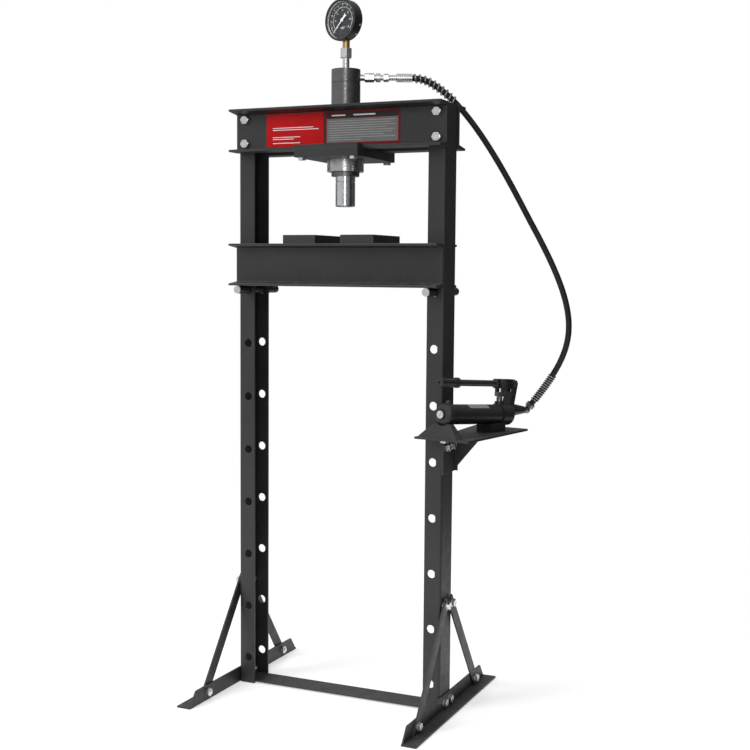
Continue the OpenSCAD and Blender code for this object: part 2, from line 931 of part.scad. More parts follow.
// Coil of wire around the hose, from place a to place b
module guard(a, b, turns) {
  steps = 12;
  count = turns * steps;
  coil_r = hose_d / 2 + guard_wire_d / 2 + 0.6;
  places = [for (i = [0 : count]) a + (b - a) * i / count];
  points = [
    for (i = [0 : count])
      let (
        t = hose_dir(places[i]),
        u = unit(cross(t, [0, 1, 0])),
        v = cross(u, t),
        turn = 360 * i / steps
      )
      hose_point(places[i]) + coil_r * (cos(turn) * u + sin(turn) * v)
  ];
  wire(points, [for (s = places) hose_dir(s)], guard_wire_d / 2, 6);
}

module spring_guards() {
  color("lightgray") {
    guard(0.012, guard_top_end, 21);
    guard(guard_low_start, 1.985, 17);
  }
}

module outlet_elbow() {
  knuckle_r = 9;
  shoulder_d = 15;
  shoulder_t = 4;
  color("gray") difference() {
    union() {
      at_pump() translate([0, 0, outlet_dz]) {
        pump_span(port_d - 2 * fit, outlet_end - outlet_thread + cut, outlet_tip);
        pump_span(shoulder_d, outlet_end + fit, outlet_end + shoulder_t);
      }
      translate(elbow) sphere(r = knuckle_r);
      translate(elbow) along(hose_low_dir) span(barb_d, 0, low_nut_end + 4);
    }
    at_pump() translate([0, 0, outlet_dz]) pump_span(passage_d, outlet_end - bore_len, outlet_tip);
  }
}

module lower_hose_nut() {
  nut_start = 9.5;
  color("silver") translate(elbow) along(hose_low_dir) difference() {
    hex_span(M12[1], nut_start, low_nut_end);
    span(barb_d + 2 * fit, nut_start - cut, low_nut_end);
    span(hose_d + 2 * fit, low_nut_end - low_inset, low_nut_end + cut);
  }
}

// ---------- pump ----------

module at_pump() {
  translate(pump_at) rotate([0, 0, pump_yaw]) rotate([0, pump_tilt, 0]) children();
}

// Level frame under the pump, with z from the floor
module at_pump_base() {
  translate([pump_at.x, pump_at.y, 0]) rotate([0, 0, pump_yaw]) children();
}

// Length of round bar along the pump's axis, from a to b
module pump_span(d, a, b) {
  rotate([0, 90, 0]) span(d, a, b);
}

module pump_cone(d1, d2, start, len) {
  translate([start, 0, 0]) rotate([0, 90, 0]) cylinder(d1 = d1, d2 = d2, h = len);
}

module at_pump_bolts() {
  at_pump_base() {
    translate([near_stand_x, near_bolt_y, 0]) children();
    for (y = [-far_bolt_y, far_bolt_y]) translate([far_stand_x, y, 0]) children();
  }
}

module at_bracket_bolts() {
  for (y = [-bracket_bolt_y, bracket_bolt_y])
    translate([post_x + strap_t, y, bracket_bolt_z]) rotate([0, 90, 0]) children();
}

module pump_shelf() {
  notch_gap = 1;
  color("dimgray") difference() {
    translate([shelf_mid.x, shelf_mid.y, shelf_z - shelf_t / 2]) rotate([0, 0, shelf_yaw])
      cube([shelf_size.x, shelf_size.y, shelf_t], center = true);
    // Notch that lets the shelf's front end reach past the post
    translate([0, -post_y - notch_gap, shelf_z - 2 * shelf_t])
      cube([post_x + notch_gap, shelf_size.y, 3 * shelf_t]);
    at_pump_bolts() span(M10[4], shelf_z - shelf_t - cut, shelf_z + cut);
  }
}

// Saddle on the post's outer face, with a tapered lip in front and a gusset behind
module shelf_bracket() {
  top = bracket_z + bracket_h;
  lip_w = 11;
  gusset_reach = 72;
  step = [10, 12];
  module side_plate(y, outline) {
    translate([post_x, y + strap_t, 0]) rotate([90, 0, 0]) linear_extrude(strap_t) polygon(outline);
  }
  color("dimgray") difference() {
    union() {
      translate([post_x, -post_y - strap_t, bracket_z])
        cube([strap_t, post_depth + 2 * strap_t, bracket_h]);
      side_plate(-post_y - strap_t, [[0, bracket_z], [strap_t, bracket_z], [strap_t, top], [-lip_w, top]]);
      side_plate(post_y, [
        [0, bracket_z], [step.x, bracket_z], [step.x, bracket_z + step.y], [gusset_reach, top], [0, top]
      ]);
    }
    at_bracket_bolts() bolt_bore(M10);
  }
}

module reservoir_tube() {
  tube_wall = 3;
  color("dimgray") at_pump() difference() {
    pump_span(reservoir_d, tube_start, tube_end);
    pump_span(reservoir_d - 2 * tube_wall, tube_start - cut, tube_end + cut);
  }
}

module reservoir_cap() {
  vent_d = 14;
  vent_x = 21;
  vent_h = 6;
  color("dimgray") at_pump() difference() {
    union() {
      pump_span(2 * cap_r, 0, cap_len);
      translate([vent_x, 0, 0]) span(vent_d, cap_r - vent_h, cap_r + vent_h);
    }
    pump_span(reservoir_d + 2 * fit, tube_start - fit, cap_len + cut);
    pump_span(plug_bore_d + 2 * fit, -cut, cap_len);
  }
}

module filler_plug() {
  plug_d = 19;
  plug_h = 7;
  color("silver") at_pump() {
    pump_span(plug_d, -plug_h, 0);
    pump_span(plug_bore_d, -cut, tube_start);
  }
}

// Flared stand under the end cap and a block under the tube, both cut to the round body
module pump_stands() {
  foot_w = 116;
  top_w = 49;
  near_h = 31;
  far_size = [50, 46, 20];
  saddle = 0.2;
  color("dimgray") difference() {
    at_pump_base() translate([0, 0, shelf_z + fit]) {
      intersection() {
        rotate([90, 0, 90]) linear_extrude(foot_w, center = true)
          polygon([[-foot_w / 2, 0], [foot_w / 2, 0], [top_w / 2, near_h], [-top_w / 2, near_h]]);
        rotate([90, 0, 0]) linear_extrude(foot_w, center = true)
          polygon([[-14, 0], [10, 0], [13, near_h], [1, near_h]]);
      }
      translate([far_stand_x - far_size.x / 2, -far_size.y / 2, 0]) cube(far_size);
    }
    at_pump() {
      pump_span(2 * cap_r + saddle, -cap_len, far_stand_x / 2);
      pump_span(reservoir_d + saddle, far_stand_x / 2, head_end);
      pump_span(2 * pump_head_r + saddle, head_start - saddle, head_end);
    }
    at_pump_bolts() span(M10[0] + 2 * fit, shelf_z - cut, shelf_z + stand_tap + cut);
  }
}

module pump_head() {
  ball_room = ball_d + 3;
  gland_d = 22;
  gland_top = 30;
  nose_start_d = 36;
  nose_end_d = 18;
  post_foot = [216, 236];
  post_knee_z = 54;
  ear_floor = lever_h - 18;
  wide = 2 * pump_head_r;
  color("dimgray") at_pump() difference() {
    union() {
      pump_span(reservoir_d, tube_end, head_start + cut);
      pump_span(wide, head_start, head_end);
      translate([plunger_x, 0, 0]) span(gland_d, 0, gland_top);
      // Outlet nose, set over the pump's axis
      translate([0, 0, outlet_dz])
        pump_cone(nose_start_d, nose_end_d, head_end - cut, outlet_end - head_end + cut);
      // Leaning post that carries the fulcrum's ears
      translate([0, ear_outer, 0]) rotate([90, 0, 0]) linear_extrude(2 * ear_outer)
        polygon([
          [post_foot[0], 0], [post_foot[1], 0], [fulcrum_x + ear_r, lever_h],
          [fulcrum_x - ear_r, lever_h], [fulcrum_x - ear_r, post_knee_z]
        ]);
      translate([fulcrum_x, ear_outer, lever_h]) rotate([90, 0, 0]) cylinder(r = ear_r, h = 2 * ear_outer);
    }
    // Room for the lever between the ears
    translate([fulcrum_x - wide / 2, -fork_gap, ear_floor]) cube([wide, 2 * fork_gap, lever_h]);
    translate([fulcrum_x, -wide / 2, lever_h]) rotate([-90, 0, 0])
      cylinder(r = lever_pin_d / 2 + fit, h = wide);
    // Plunger bore and the suction valve's room under it
    translate([plunger_x, 0, 0]) {
      span(plunger_d + 2 * fit, bore_floor, gland_top + cut);
      span(ball_room, suction_floor, bore_floor + cut);
      span(passage_d, suction_floor - 2, bore_floor);
    }
    // Delivery valve's room, reached from the plunger bore and open to the outlet
    translate([delivery_x, 0, 0]) {
      span(ball_room, 0, outlet_dz + passage_d / 2 + cut);
      span(passage_d, gallery_z - passage_d / 2, cut);
    }
    translate([0, 0, gallery_z]) pump_span(passage_d, plunger_x, delivery_x);
    translate([0, 0, outlet_dz]) pump_span(passage_d, delivery_x, outlet_end);
    translate([0, 0, outlet_dz]) pump_span(port_d, outlet_end - outlet_thread, outlet_end + cut);
    translate([release_x, 0, gallery_z]) rotate([-90, 0, 0])
      span(release_d + 2 * fit, 0, pump_head_r + cut);
  }
}

module suction_ball() {
  color("silver") at_pump() translate([plunger_x, 0, suction_floor + ball_d / 2 + ball_lift])
    sphere(d = ball_d);
}

module delivery_ball() {
  color("silver") at_pump() translate([delivery_x, 0, ball_d / 2 + ball_lift]) sphere(d = ball_d);
}

// Axis of the release screw, from its seat on the gallery outwards
module at_release() {
  at_pump() translate([release_x, 0, gallery_z]) rotate([-90, 0, 0]) children();
}

// Handle lever: socket between two collars, round bar and a flat tongue that takes both pins
module pump_lever() {
  collar_d = 24;
  socket_d = 18;
  bar_d = 15;
  tongue_h = 22;
  tongue_start = 180;
  // Slot that lets the plunger's pin keep to a straight line while the lever swings
  slot_r = lever_pin_d / 2 + 1;
  slot_far = plunger_x + 0.5;
  slot_near = plunger_x - 8;
  lever_start = -14;
  collar_t = 8;
  far_collar = 40;
  taper = 7;
  module through(x, r) {
    translate([x, -tongue_t, 0]) rotate([-90, 0, 0]) cylinder(r = r, h = 2 * tongue_t);
  }
  color("dimgray") at_pump() translate([0, 0, lever_h]) difference() {
    union() {
      pump_span(collar_d, lever_start, lever_start + collar_t);
      pump_span(socket_d, lever_start + cut, far_collar + cut);
      pump_span(collar_d, far_collar, far_collar + collar_t);
      pump_cone(collar_d, bar_d, far_collar + collar_t, taper);
      pump_span(bar_d, far_collar, tongue_start + cut);
      pump_cone(bar_d, tongue_h, tongue_start - taper, taper);
      translate([tongue_start, -tongue_t / 2, -tongue_h / 2])
        cube([fulcrum_x - tongue_start, tongue_t, tongue_h]);
      translate([fulcrum_x, -tongue_t / 2, 0]) rotate([-90, 0, 0]) cylinder(d = tongue_h, h = tongue_t);
    }
    through(fulcrum_x, lever_pin_d / 2 + fit);
    through(slot_near, slot_r);
    through(slot_far, slot_r);
    translate([slot_near, -tongue_t, -slot_r]) cube([slot_far - slot_near, 2 * tongue_t, 2 * slot_r]);
    pump_span(barb_d, lever_start - cut, lever_start + taper);
  }
}

module plunger() {
  fork_outer = fork_gap + fork_t;
  fork_root = 10;
  color("silver") at_pump() translate([plunger_x, 0, 0]) difference() {
    union() {
      span(plunger_d, bore_floor + 2, crotch_z);
      translate([-fork_w / 2, -fork_outer, crotch_z - fork_root])
        cube([fork_w, 2 * fork_outer, lever_h - crotch_z + fork_root]);
      translate([0, fork_outer, lever_h]) rotate([90, 0, 0])
        cylinder(d = fork_eye_d, h = 2 * fork_outer);
    }
    translate([-fork_w, -fork_gap, crotch_z]) cube([2 * fork_w, 2 * fork_gap, lever_h]);
    translate([0, -fork_w, lever_h]) rotate([-90, 0, 0])
      cylinder(r = lever_pin_d / 2 + fit, h = 2 * fork_w);
  }
}

// Cross pin with a flat head outside each ear
module cross_pin(x, reach) {
  head_t = 1.8;
  translate([x, -reach - fit - head_t, lever_h]) rotate([-90, 0, 0])
    cylinder(d = lever_pin_d, h = 2 * (reach + fit + head_t));
  for (s = [-1, 1]) translate([x, s * (reach + fit + head_t / 2), lever_h]) rotate([90, 0, 0])
    cylinder(d = lever_pin_d + 4, h = head_t, center = true);
}

module plunger_pin() {
  color("silver") at_pump() cross_pin(plunger_x, fork_gap + fork_t);
}

module fulcrum_pin() {
  color("silver") at_pump() cross_pin(fulcrum_x, ear_outer);
}

// Screw-down valve with a ribbed knob on the side away from the operator
module release_valve() {
  knob_d = 20;
  knob_h = 14;
  knob_z = pump_head_r + 4;
  ribs = 12;
  rib = 2;
  color("gray") at_release() {
    span(release_d, 0, knob_z + cut);
    span(knob_d, knob_z, knob_z + knob_h);
    for (i = [0 : ribs - 1]) rotate([0, 0, 360 * i / ribs])
      translate([knob_d / 2 - rib / 2, -rib / 2, knob_z]) cube([rib, rib, knob_h]);
  }
}

// ---------- nodes ----------

left_post();
right_post();
front_head_beam();
back_head_beam();
m12_bolts();
m12_nuts();
washers();
m10_bolts();
m10_nuts();
left_foot();
right_foot();
braces();
cross_bar();
front_bed_beam();
back_bed_beam();
bed_spacers();
left_bed_pin();
right_bed_pin();
left_arbor_plate();
right_arbor_plate();
support_plate();
clamp_bars();
cylinder_barrel();
cylinder_cap();
ring_nut();
gland_collar();
ram();
ram_nose();
piston();
piston_seal();
return_spring();
gauge_adapter();
gauge_stem();
gauge_case();
gauge_bezel();
gauge_glass();
gauge_dial();
gauge_needle();
bourdon_tube();
front_label();
port_adapter();
upper_hose_fitting();
hose();
spring_guards();
outlet_elbow();
lower_hose_nut();
pump_shelf();
shelf_bracket();
reservoir_tube();
reservoir_cap();
filler_plug();
pump_head();
pump_stands();
pump_lever();
plunger();
plunger_pin();
fulcrum_pin();
release_valve();
suction_ball();
delivery_ball();
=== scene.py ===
"""Looks of a floor-standing hydraulic shop press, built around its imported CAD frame. Metres."""
import json
import math

import bmesh
import bpy
from mathutils import Matrix, Vector


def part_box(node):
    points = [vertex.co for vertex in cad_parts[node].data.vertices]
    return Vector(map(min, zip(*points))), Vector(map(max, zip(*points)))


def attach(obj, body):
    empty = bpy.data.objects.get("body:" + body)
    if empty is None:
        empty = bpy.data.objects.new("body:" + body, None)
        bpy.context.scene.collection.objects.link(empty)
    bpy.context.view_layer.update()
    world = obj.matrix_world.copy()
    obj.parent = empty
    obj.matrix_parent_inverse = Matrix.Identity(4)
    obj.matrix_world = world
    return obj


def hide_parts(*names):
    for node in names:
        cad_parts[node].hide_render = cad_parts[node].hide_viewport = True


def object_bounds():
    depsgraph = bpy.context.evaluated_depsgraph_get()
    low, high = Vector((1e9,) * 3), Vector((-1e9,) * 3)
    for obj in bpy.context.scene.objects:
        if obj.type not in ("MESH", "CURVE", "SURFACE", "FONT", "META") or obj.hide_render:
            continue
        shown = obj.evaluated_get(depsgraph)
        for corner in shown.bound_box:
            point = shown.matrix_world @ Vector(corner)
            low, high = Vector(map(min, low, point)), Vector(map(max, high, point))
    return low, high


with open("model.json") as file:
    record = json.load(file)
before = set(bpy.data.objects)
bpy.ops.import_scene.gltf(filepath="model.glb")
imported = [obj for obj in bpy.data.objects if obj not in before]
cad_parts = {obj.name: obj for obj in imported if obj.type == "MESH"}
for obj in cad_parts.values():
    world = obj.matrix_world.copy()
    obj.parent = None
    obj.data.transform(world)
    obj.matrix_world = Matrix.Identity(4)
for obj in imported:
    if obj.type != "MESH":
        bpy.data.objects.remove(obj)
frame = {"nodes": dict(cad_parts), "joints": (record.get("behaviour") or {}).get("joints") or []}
cad_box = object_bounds()

MM = 0.001
UP = Vector((0, 0, 1))
NODES = frame["nodes"]
JOINTS = {joint["name"]: joint for joint in frame["joints"]}
WELD_GAP = 0.01 * MM
HEXAGON_SIDES = 60
CREST_SHARE = 0.475  # radius where a bolt head's or nut's chamfer starts, over its width across flats
CHAMFER_SLOPE = 0.5
GAUGE_SIDES = 96


# ---------- places taken from the frame ----------

def middle(node):
    low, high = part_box(node)
    return (low + high) / 2


def corners(node):
    return [vertex.co for vertex in NODES[node].data.vertices]


def reach(points, origin, direction):
    """Lowest and highest place of points along direction, counted from origin."""
    along = [(point - origin).dot(direction) for point in points]
    return min(along), max(along)


def girth(points, origin, direction):
    """Largest distance of points from the line through origin along direction."""
    return max((point - origin).cross(direction).length for point in points)


def axes(origin, x_axis, y_axis, z_axis):
    """Matrix of a local frame in the press's frame."""
    turn = Matrix((x_axis, y_axis, z_axis)).transposed().to_4x4()
    return Matrix.Translation(origin) @ turn


def aimed(origin, direction, side=None):
    """Local frame whose +Z is direction; +X leans towards side."""
    z_axis = direction.normalized()
    lean = side or (Vector((1, 0, 0)) if abs(z_axis.x) < 0.9 else Vector((0, 1, 0)))
    x_axis = (lean - z_axis * lean.dot(z_axis)).normalized()
    return axes(origin, x_axis, z_axis.cross(x_axis), z_axis)


def solids(node):
    """Corner points of each separate solid of a CAD node, walked in the mesh's own order."""
    mesh = bmesh.new()
    mesh.from_mesh(NODES[node].data)
    bmesh.ops.remove_doubles(mesh, verts=mesh.verts, dist=WELD_GAP)
    left = set(mesh.verts)
    found = []
    for start in mesh.verts:
        if start not in left:
            continue
        left.discard(start)
        stack = [start]
        solid = []
        while stack:
            vertex = stack.pop()
            solid.append(vertex.co.copy())
            for edge in vertex.link_edges:
                other = edge.other_vert(vertex)
                if other in left:
                    left.discard(other)
                    stack.append(other)
        found.append(solid)
    mesh.free()

    def centre(points):
        return tuple(round(x, 4) for x in sum(points, Vector()) / len(points))

    return sorted(found, key=centre)


GAUGE_BACK = Vector(JOINTS["needle_turn"]["axis"]).normalized()
GAUGE = axes(Vector(JOINTS["needle_turn"]["pos_m"]), GAUGE_BACK.cross(UP), GAUGE_BACK, UP)

PUMP_UP = Vector(JOINTS["plunger_slide"]["axis"]).normalized()
PUMP_ACROSS = Vector(JOINTS["pump_handle"]["axis"]).normalized()
PUMP_ALONG = PUMP_ACROSS.cross(PUMP_UP)
TUBE_MIDDLE = sum(corners("reservoir_tube"), Vector()) / len(corners("reservoir_tube"))


# ---------- material nodes ----------

def add_node(tree, kind, inputs=None, **settings):
    """Adds a shader node; inputs are values, or sockets to link from."""
    node = tree.nodes.new(kind)
    for key, value in settings.items():
        setattr(node, key, value)
    for key, value in (inputs or {}).items():
        if isinstance(value, bpy.types.NodeSocket):
            tree.links.new(value, node.inputs[key])
        else:
            node.inputs[key].default_value = value
    return node


class Finish:
    """Builds one procedural material; its textures follow the object's own metres."""

    def __init__(self, name):
        self.material = bpy.data.materials.new(name)
        self.material.use_nodes = True
        self.tree = self.material.node_tree
        self.tree.nodes.clear()
        self.place = self.add("ShaderNodeTexCoord").outputs["Object"]

    def add(self, kind, inputs=None, **settings):
        return add_node(self.tree, kind, inputs, **settings)

    def stretch(self, scale):
        """Place with each axis scaled, for textures drawn out along one direction."""
        return self.add("ShaderNodeMapping", {"Vector": self.place, "Scale": scale}).outputs[0]

    def noise(self, scale, detail=2.0, rough=0.5, place=None):
        inputs = {"Vector": place or self.place, "Scale": scale, "Detail": detail, "Roughness": rough}
        return self.add("ShaderNodeTexNoise", inputs).outputs["Fac"]

    def steps(self, value, *stops):
        """Blend through (place, grey) stops."""
        ramp = self.add("ShaderNodeValToRGB", {"Fac": value})
        while len(ramp.color_ramp.elements) < len(stops):
            ramp.color_ramp.elements.new(0.5)
        for element, (place, grey) in zip(ramp.color_ramp.elements, stops):
            element.position = place
            element.color = (grey, grey, grey, 1)
        return ramp.outputs["Color"]

    def spread(self, value, low, high):
        """Maps 0..1 noise onto low..high, with the noise's usual middle range stretched out."""
        inputs = {"Value": value, "From Min": 0.3, "From Max": 0.7, "To Min": low, "To Max": high}
        return self.add("ShaderNodeMapRange", inputs).outputs[0]

    def math(self, operation, a, b):
        return self.add("ShaderNodeMath", {0: a, 1: b}, operation=operation).outputs[0]

    def blend(self, share, a, b):
        node = self.add("ShaderNodeMix", {"Factor": share}, data_type="RGBA")
        for socket, value in zip((node.inputs[6], node.inputs[7]), (a, b)):
            if isinstance(value, bpy.types.NodeSocket):
                self.tree.links.new(value, socket)
            else:
                socket.default_value = (*value, 1)
        return node.outputs[2]

    def bump(self, height, depth, normal=None):
        inputs = {"Height": height, "Distance": depth, "Strength": 1.0}
        if normal:
            inputs["Normal"] = normal
        return self.add("ShaderNodeBump", inputs).outputs["Normal"]

    def facing_up(self):
        """1 on faces that look up, 0 on upright and hanging ones."""
        normal = self.add("ShaderNodeNewGeometry").outputs["Normal"]
        height = self.add("ShaderNodeSeparateXYZ", {"Vector": normal}).outputs["Z"]
        return self.add("ShaderNodeClamp", {"Value": height}).outputs[0]

    def surface(self, **inputs):
        names = {key.replace("_", " "): value for key, value in inputs.items()}
        for key in ("Base Color", "Specular Tint"):
            if isinstance(names.get(key), tuple):
                names[key] = (*names[key], 1)
        shader = self.add("ShaderNodeBsdfPrincipled", names)
        self.output(shader.outputs[0])
        return self.material

    def output(self, shader):
        self.add("ShaderNodeOutputMaterial", {"Surface": shader})


def scaled(colour, factor):
    return tuple(channel * factor for channel in colour)


def powder_coat(name, colour, roughness, peel=0.05 * MM, dust=0.25):
    """Baked satin paint: orange peel, slow changes of tone, faint scuffs and some dust on top faces."""
    f = Finish(name)
    tone = f.blend(f.spread(f.noise(7, 4), 0, 1), scaled(colour, 0.82), scaled(colour, 1.2))
    scuff = f.steps(f.noise(60, 6, 0.7, f.stretch((1, 1, 0.25))), (0.62, 0), (0.75, 1))
    tone = f.blend(f.math("MULTIPLY", scuff, 0.35), tone, scaled(colour, 2.6))
    settled = f.math("MULTIPLY", f.facing_up(), f.spread(f.noise(35, 5), 0.3, 1.0))
    tone = f.blend(f.math("MULTIPLY", settled, dust), tone, (0.16, 0.155, 0.15))
    grain = f.bump(f.noise(2600, 2), peel * 0.35)
    normal = f.bump(f.noise(520, 3), peel, grain)
    gloss = f.spread(f.noise(45, 5), roughness - 0.06, roughness + 0.08)
    gloss = f.math("ADD", gloss, f.math("MULTIPLY", settled, 0.15))
    return f.surface(Base_Color=tone, Roughness=gloss, Normal=normal, Specular_IOR_Level=0.5)


def worn_edge(name, colour):
    """The same paint where it thins over an edge: lighter, with a few bare spots."""
    f = Finish(name)
    bare = f.steps(f.noise(230, 5, 0.65), (0.56, 0), (0.66, 1))
    tone = f.blend(f.math("MULTIPLY", bare, 0.6), colour, (0.28, 0.28, 0.28))
    normal = f.bump(f.noise(900, 3), 0.03 * MM)
    return f.surface(
        Base_Color=tone, Roughness=f.spread(f.noise(120), 0.3, 0.45), Normal=normal,
        Metallic=f.math("MULTIPLY", bare, 0.5),
    )


def plated(name, colour, shade, roughness, grain_scale=(400, 400, 400), grain=0.02 * MM):
    """Metal with a brushed or cast grain, cloudy tone and smudged gloss."""
    f = Finish(name)
    tone = f.blend(f.spread(f.noise(55, 5), 0, 1), colour, shade)
    stain = f.steps(f.noise(180, 6, 0.7), (0.55, 0), (0.8, 1))
    tone = f.blend(f.math("MULTIPLY", stain, 0.5), tone, scaled(shade, 0.55))
    lines = f.noise(1, 3, 0.6, f.stretch(grain_scale))
    gloss = f.spread(f.noise(90, 4), roughness - 0.07, roughness + 0.1)
    return f.surface(
        Base_Color=tone, Metallic=1.0, Roughness=gloss, Normal=f.bump(lines, grain),
    )


def bar_with_shaded_shank(name, side, end):
    """Round bar with bright sawn ends and a shank darkened with painted shade; the bar lies along Y."""
    f = Finish(name)
    normal = f.add("ShaderNodeNewGeometry").outputs["Normal"]
    along = f.add("ShaderNodeSeparateXYZ", {"Vector": normal}).outputs["Y"]
    sawn = f.steps(f.math("ABSOLUTE", along, 0), (0.4, 0), (0.7, 1))
    # painted shade: the shank takes the dark side colour, standing in for the shade it lies in under
    # the bed, with a little random tone mixed in
    rolled = f.blend(f.spread(f.noise(90, 5), 0, 1), side, scaled(side, 1.8))
    tone = f.blend(sawn, rolled, f.blend(f.spread(f.noise(300, 4), 0, 1), end, scaled(end, 0.75)))
    lines = f.noise(1, 3, 0.6, f.stretch((300, 30, 300)))
    return f.surface(
        Base_Color=tone, Metallic=0.9, Roughness=f.spread(f.noise(120, 4), 0.32, 0.5),
        Normal=f.bump(lines, 0.02 * MM),
    )


def rubber(name, colour):
    """Matt rubber cover with a wrapped-cloth print and dusty wear."""
    f = Finish(name)
    tone = f.blend(f.spread(f.noise(30, 5), 0, 1), colour, scaled(colour, 1.9))
    weave = f.noise(1, 1, 0.5, f.stretch((1500, 1500, 500)))
    return f.surface(
        Base_Color=tone, Roughness=f.spread(f.noise(200, 4), 0.42, 0.62),
        Normal=f.bump(weave, 0.08 * MM), Specular_IOR_Level=0.3,
    )


def printed(name, colour, roughness=0.38):
    """Printed film: even ink with a little fading and fine scratches."""
    f = Finish(name)
    tone = f.blend(f.spread(f.noise(22, 5), 0, 1), scaled(colour, 0.86), colour)
    rub = f.steps(f.noise(1, 4, 0.7, f.stretch((30, 30, 900))), (0.66, 0), (0.8, 1))
    tone = f.blend(f.math("MULTIPLY", rub, 0.06), tone, (0.5, 0.5, 0.5))
    return f.surface(
        Base_Color=tone, Roughness=f.spread(f.noise(80), roughness - 0.06, roughness + 0.08),
        Normal=f.bump(f.noise(700), 0.01 * MM), Specular_IOR_Level=0.15,
    )


def clear_glass(name):
    """Flat window: see-through, with reflections that grow at a glancing angle and faint smears."""
    f = Finish(name)
    smear = f.spread(f.noise(60, 5), 0.01, 0.06)
    shine = f.add("ShaderNodeBsdfGlossy", {"Roughness": smear}).outputs[0]
    through = f.add("ShaderNodeBsdfTransparent", {"Color": (0.97, 0.98, 0.98, 1)}).outputs[0]
    edge = f.add("ShaderNodeFresnel", {"IOR": 1.45}).outputs[0]
    inside = f.add("ShaderNodeNewGeometry").outputs["Backfacing"]
    share = f.math("MULTIPLY", edge, f.math("SUBTRACT", 0.8, f.math("MULTIPLY", inside, 0.8)))
    f.output(f.add("ShaderNodeMixShader", {0: share, 1: through, 2: shine}).outputs[0])
    return f.material


BLACK = (0.018, 0.0183, 0.0187)
PUMP_BLACK = (0.014, 0.014, 0.015)
TURNED_LINES = (25, 25, 2200)
FINE_LINES = 0.0008 * MM
FINISH = {
    "frame": powder_coat("frame_powder_coat", BLACK, 0.46),
    "frame_edge": worn_edge("frame_worn_edge", (0.05, 0.05, 0.052)),
    "bed": powder_coat("bed_powder_coat", scaled(BLACK, 1.05), 0.44, dust=0.3),
    "pump": powder_coat("pump_paint", PUMP_BLACK, 0.38, peel=0.09 * MM, dust=0.15),
    "pump_edge": worn_edge("pump_worn_edge", (0.045, 0.045, 0.047)),
    "zinc": plated("zinc_plate", (0.86, 0.86, 0.85), (0.72, 0.74, 0.78), 0.28, grain=0.008 * MM),
    # the pin's dark side colour is painted shade; the light colour is its bright sawn ends
    "pin": bar_with_shaded_shank("bed_pin_steel", (0.05, 0.049, 0.048), (0.74, 0.73, 0.72)),
    "barrel": plated(
        "turned_barrel", (0.2, 0.202, 0.206), (0.165, 0.167, 0.172), 0.3, (25, 25, 2600), FINE_LINES,
    ),
    "ring": plated(
        "turned_ring", (0.62, 0.62, 0.62), (0.52, 0.52, 0.52), 0.28, TURNED_LINES, FINE_LINES,
    ),
    "collar": plated(
        "dark_collar", (0.24, 0.24, 0.24), (0.17, 0.17, 0.17), 0.34, TURNED_LINES, 0.001 * MM,
    ),
    "chrome": plated(
        "hard_chrome", (0.76, 0.77, 0.79), (0.62, 0.63, 0.65), 0.18, (20, 20, 1600), FINE_LINES,
    ),
    "wire": plated("spring_wire", (0.5, 0.5, 0.5), (0.36, 0.36, 0.36), 0.32),
    "brass": plated("machined_brass", (0.66, 0.47, 0.22), (0.5, 0.35, 0.16), 0.36, (40, 40, 1500)),
    "case": powder_coat("gauge_black", (0.018, 0.018, 0.019), 0.26, peel=0.02 * MM, dust=0.0),
    "dial": printed("dial_grey", (0.035, 0.035, 0.037), 0.5),
    "marks": printed("dial_white", (0.75, 0.75, 0.75), 0.5),
    "glass": clear_glass("gauge_glass"),
    "rubber": rubber("black_rubber", (0.007, 0.007, 0.007)),
    "label_red": printed("label_red", (0.37, 0.001, 0.003)),
    "label_dark_red": printed("label_dark_red", (0.13, 0.004, 0.008)),
    "label_grey": printed("label_grey", (0.12, 0.12, 0.12)),
    "label_black": printed("label_black", (0.02, 0.02, 0.02)),
    "label_white": printed("label_white", (0.62, 0.6, 0.6)),
    "label_pale": printed("label_pale", (0.3, 0.3, 0.3)),
    "retainer": printed("retainer_ring", (0.78, 0.78, 0.77), 0.3),
}


# ---------- mesh helpers ----------

def piece(name, mesh, finish, body, replaces=(), smooth_angle=35):
    """Turns a bmesh into an object of the press that rides on a body."""
    data = bpy.data.meshes.new(name)
    bmesh.ops.recalc_face_normals(mesh, faces=mesh.faces)
    mesh.to_mesh(data)
    mesh.free()
    for face in data.polygons:
        face.use_smooth = True
    data.set_sharp_from_angle(angle=math.radians(smooth_angle))
    data.materials.append(FINISH[finish])
    thing = bpy.data.objects.new(name, data)
    bpy.context.scene.collection.objects.link(thing)
    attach(thing, body)
    if replaces:
        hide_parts(*replaces)


def add_rings(mesh, rings, loop=False):
    """Skins rings of equally many points; a ring of one is a tip, loop joins last to first."""
    made = [[mesh.verts.new(point) for point in ring] for ring in rings]
    pairs = list(zip(made, made[1:]))
    if loop:
        pairs.append((made[-1], made[0]))
    for low, high in pairs:
        count = max(len(low), len(high))
        for i in range(count):
            j = (i + 1) % count
            a, b = low[i % len(low)], low[j % len(low)]
            c, d = high[j % len(high)], high[i % len(high)]
            face = list(dict.fromkeys((a, b, c, d)))
            if len(face) > 2:
                mesh.faces.new(face)
    if not loop:
        for ring in (made[0], made[-1]):
            if len(ring) > 2:
                mesh.faces.new(ring)


def circle(radius, z, sides, matrix):
    if radius <= 0:
        return [matrix @ Vector((0, 0, z))]
    turns = [2 * math.pi * i / sides for i in range(sides)]
    return [matrix @ Vector((radius * math.cos(t), radius * math.sin(t), z)) for t in turns]


def add_lathe(mesh, profile, matrix, sides=64, loop=False):
    """Turned shape from (radius, z) points."""
    add_rings(mesh, [circle(radius, z, sides, matrix) for radius, z in profile], loop)


def add_tube(mesh, line, radius, sides):
    """Round bar along a list of points; its frame is carried along without twist."""
    rings = []
    side = Vector((0.1, 1, 0.2))
    for i, point in enumerate(line):
        ahead = (line[min(i + 1, len(line) - 1)] - line[max(i - 1, 0)]).normalized()
        side = (side - ahead * side.dot(ahead)).normalized()
        rings.append(circle(radius, 0, sides, axes(point, side, ahead.cross(side), ahead)))
    add_rings(mesh, rings)


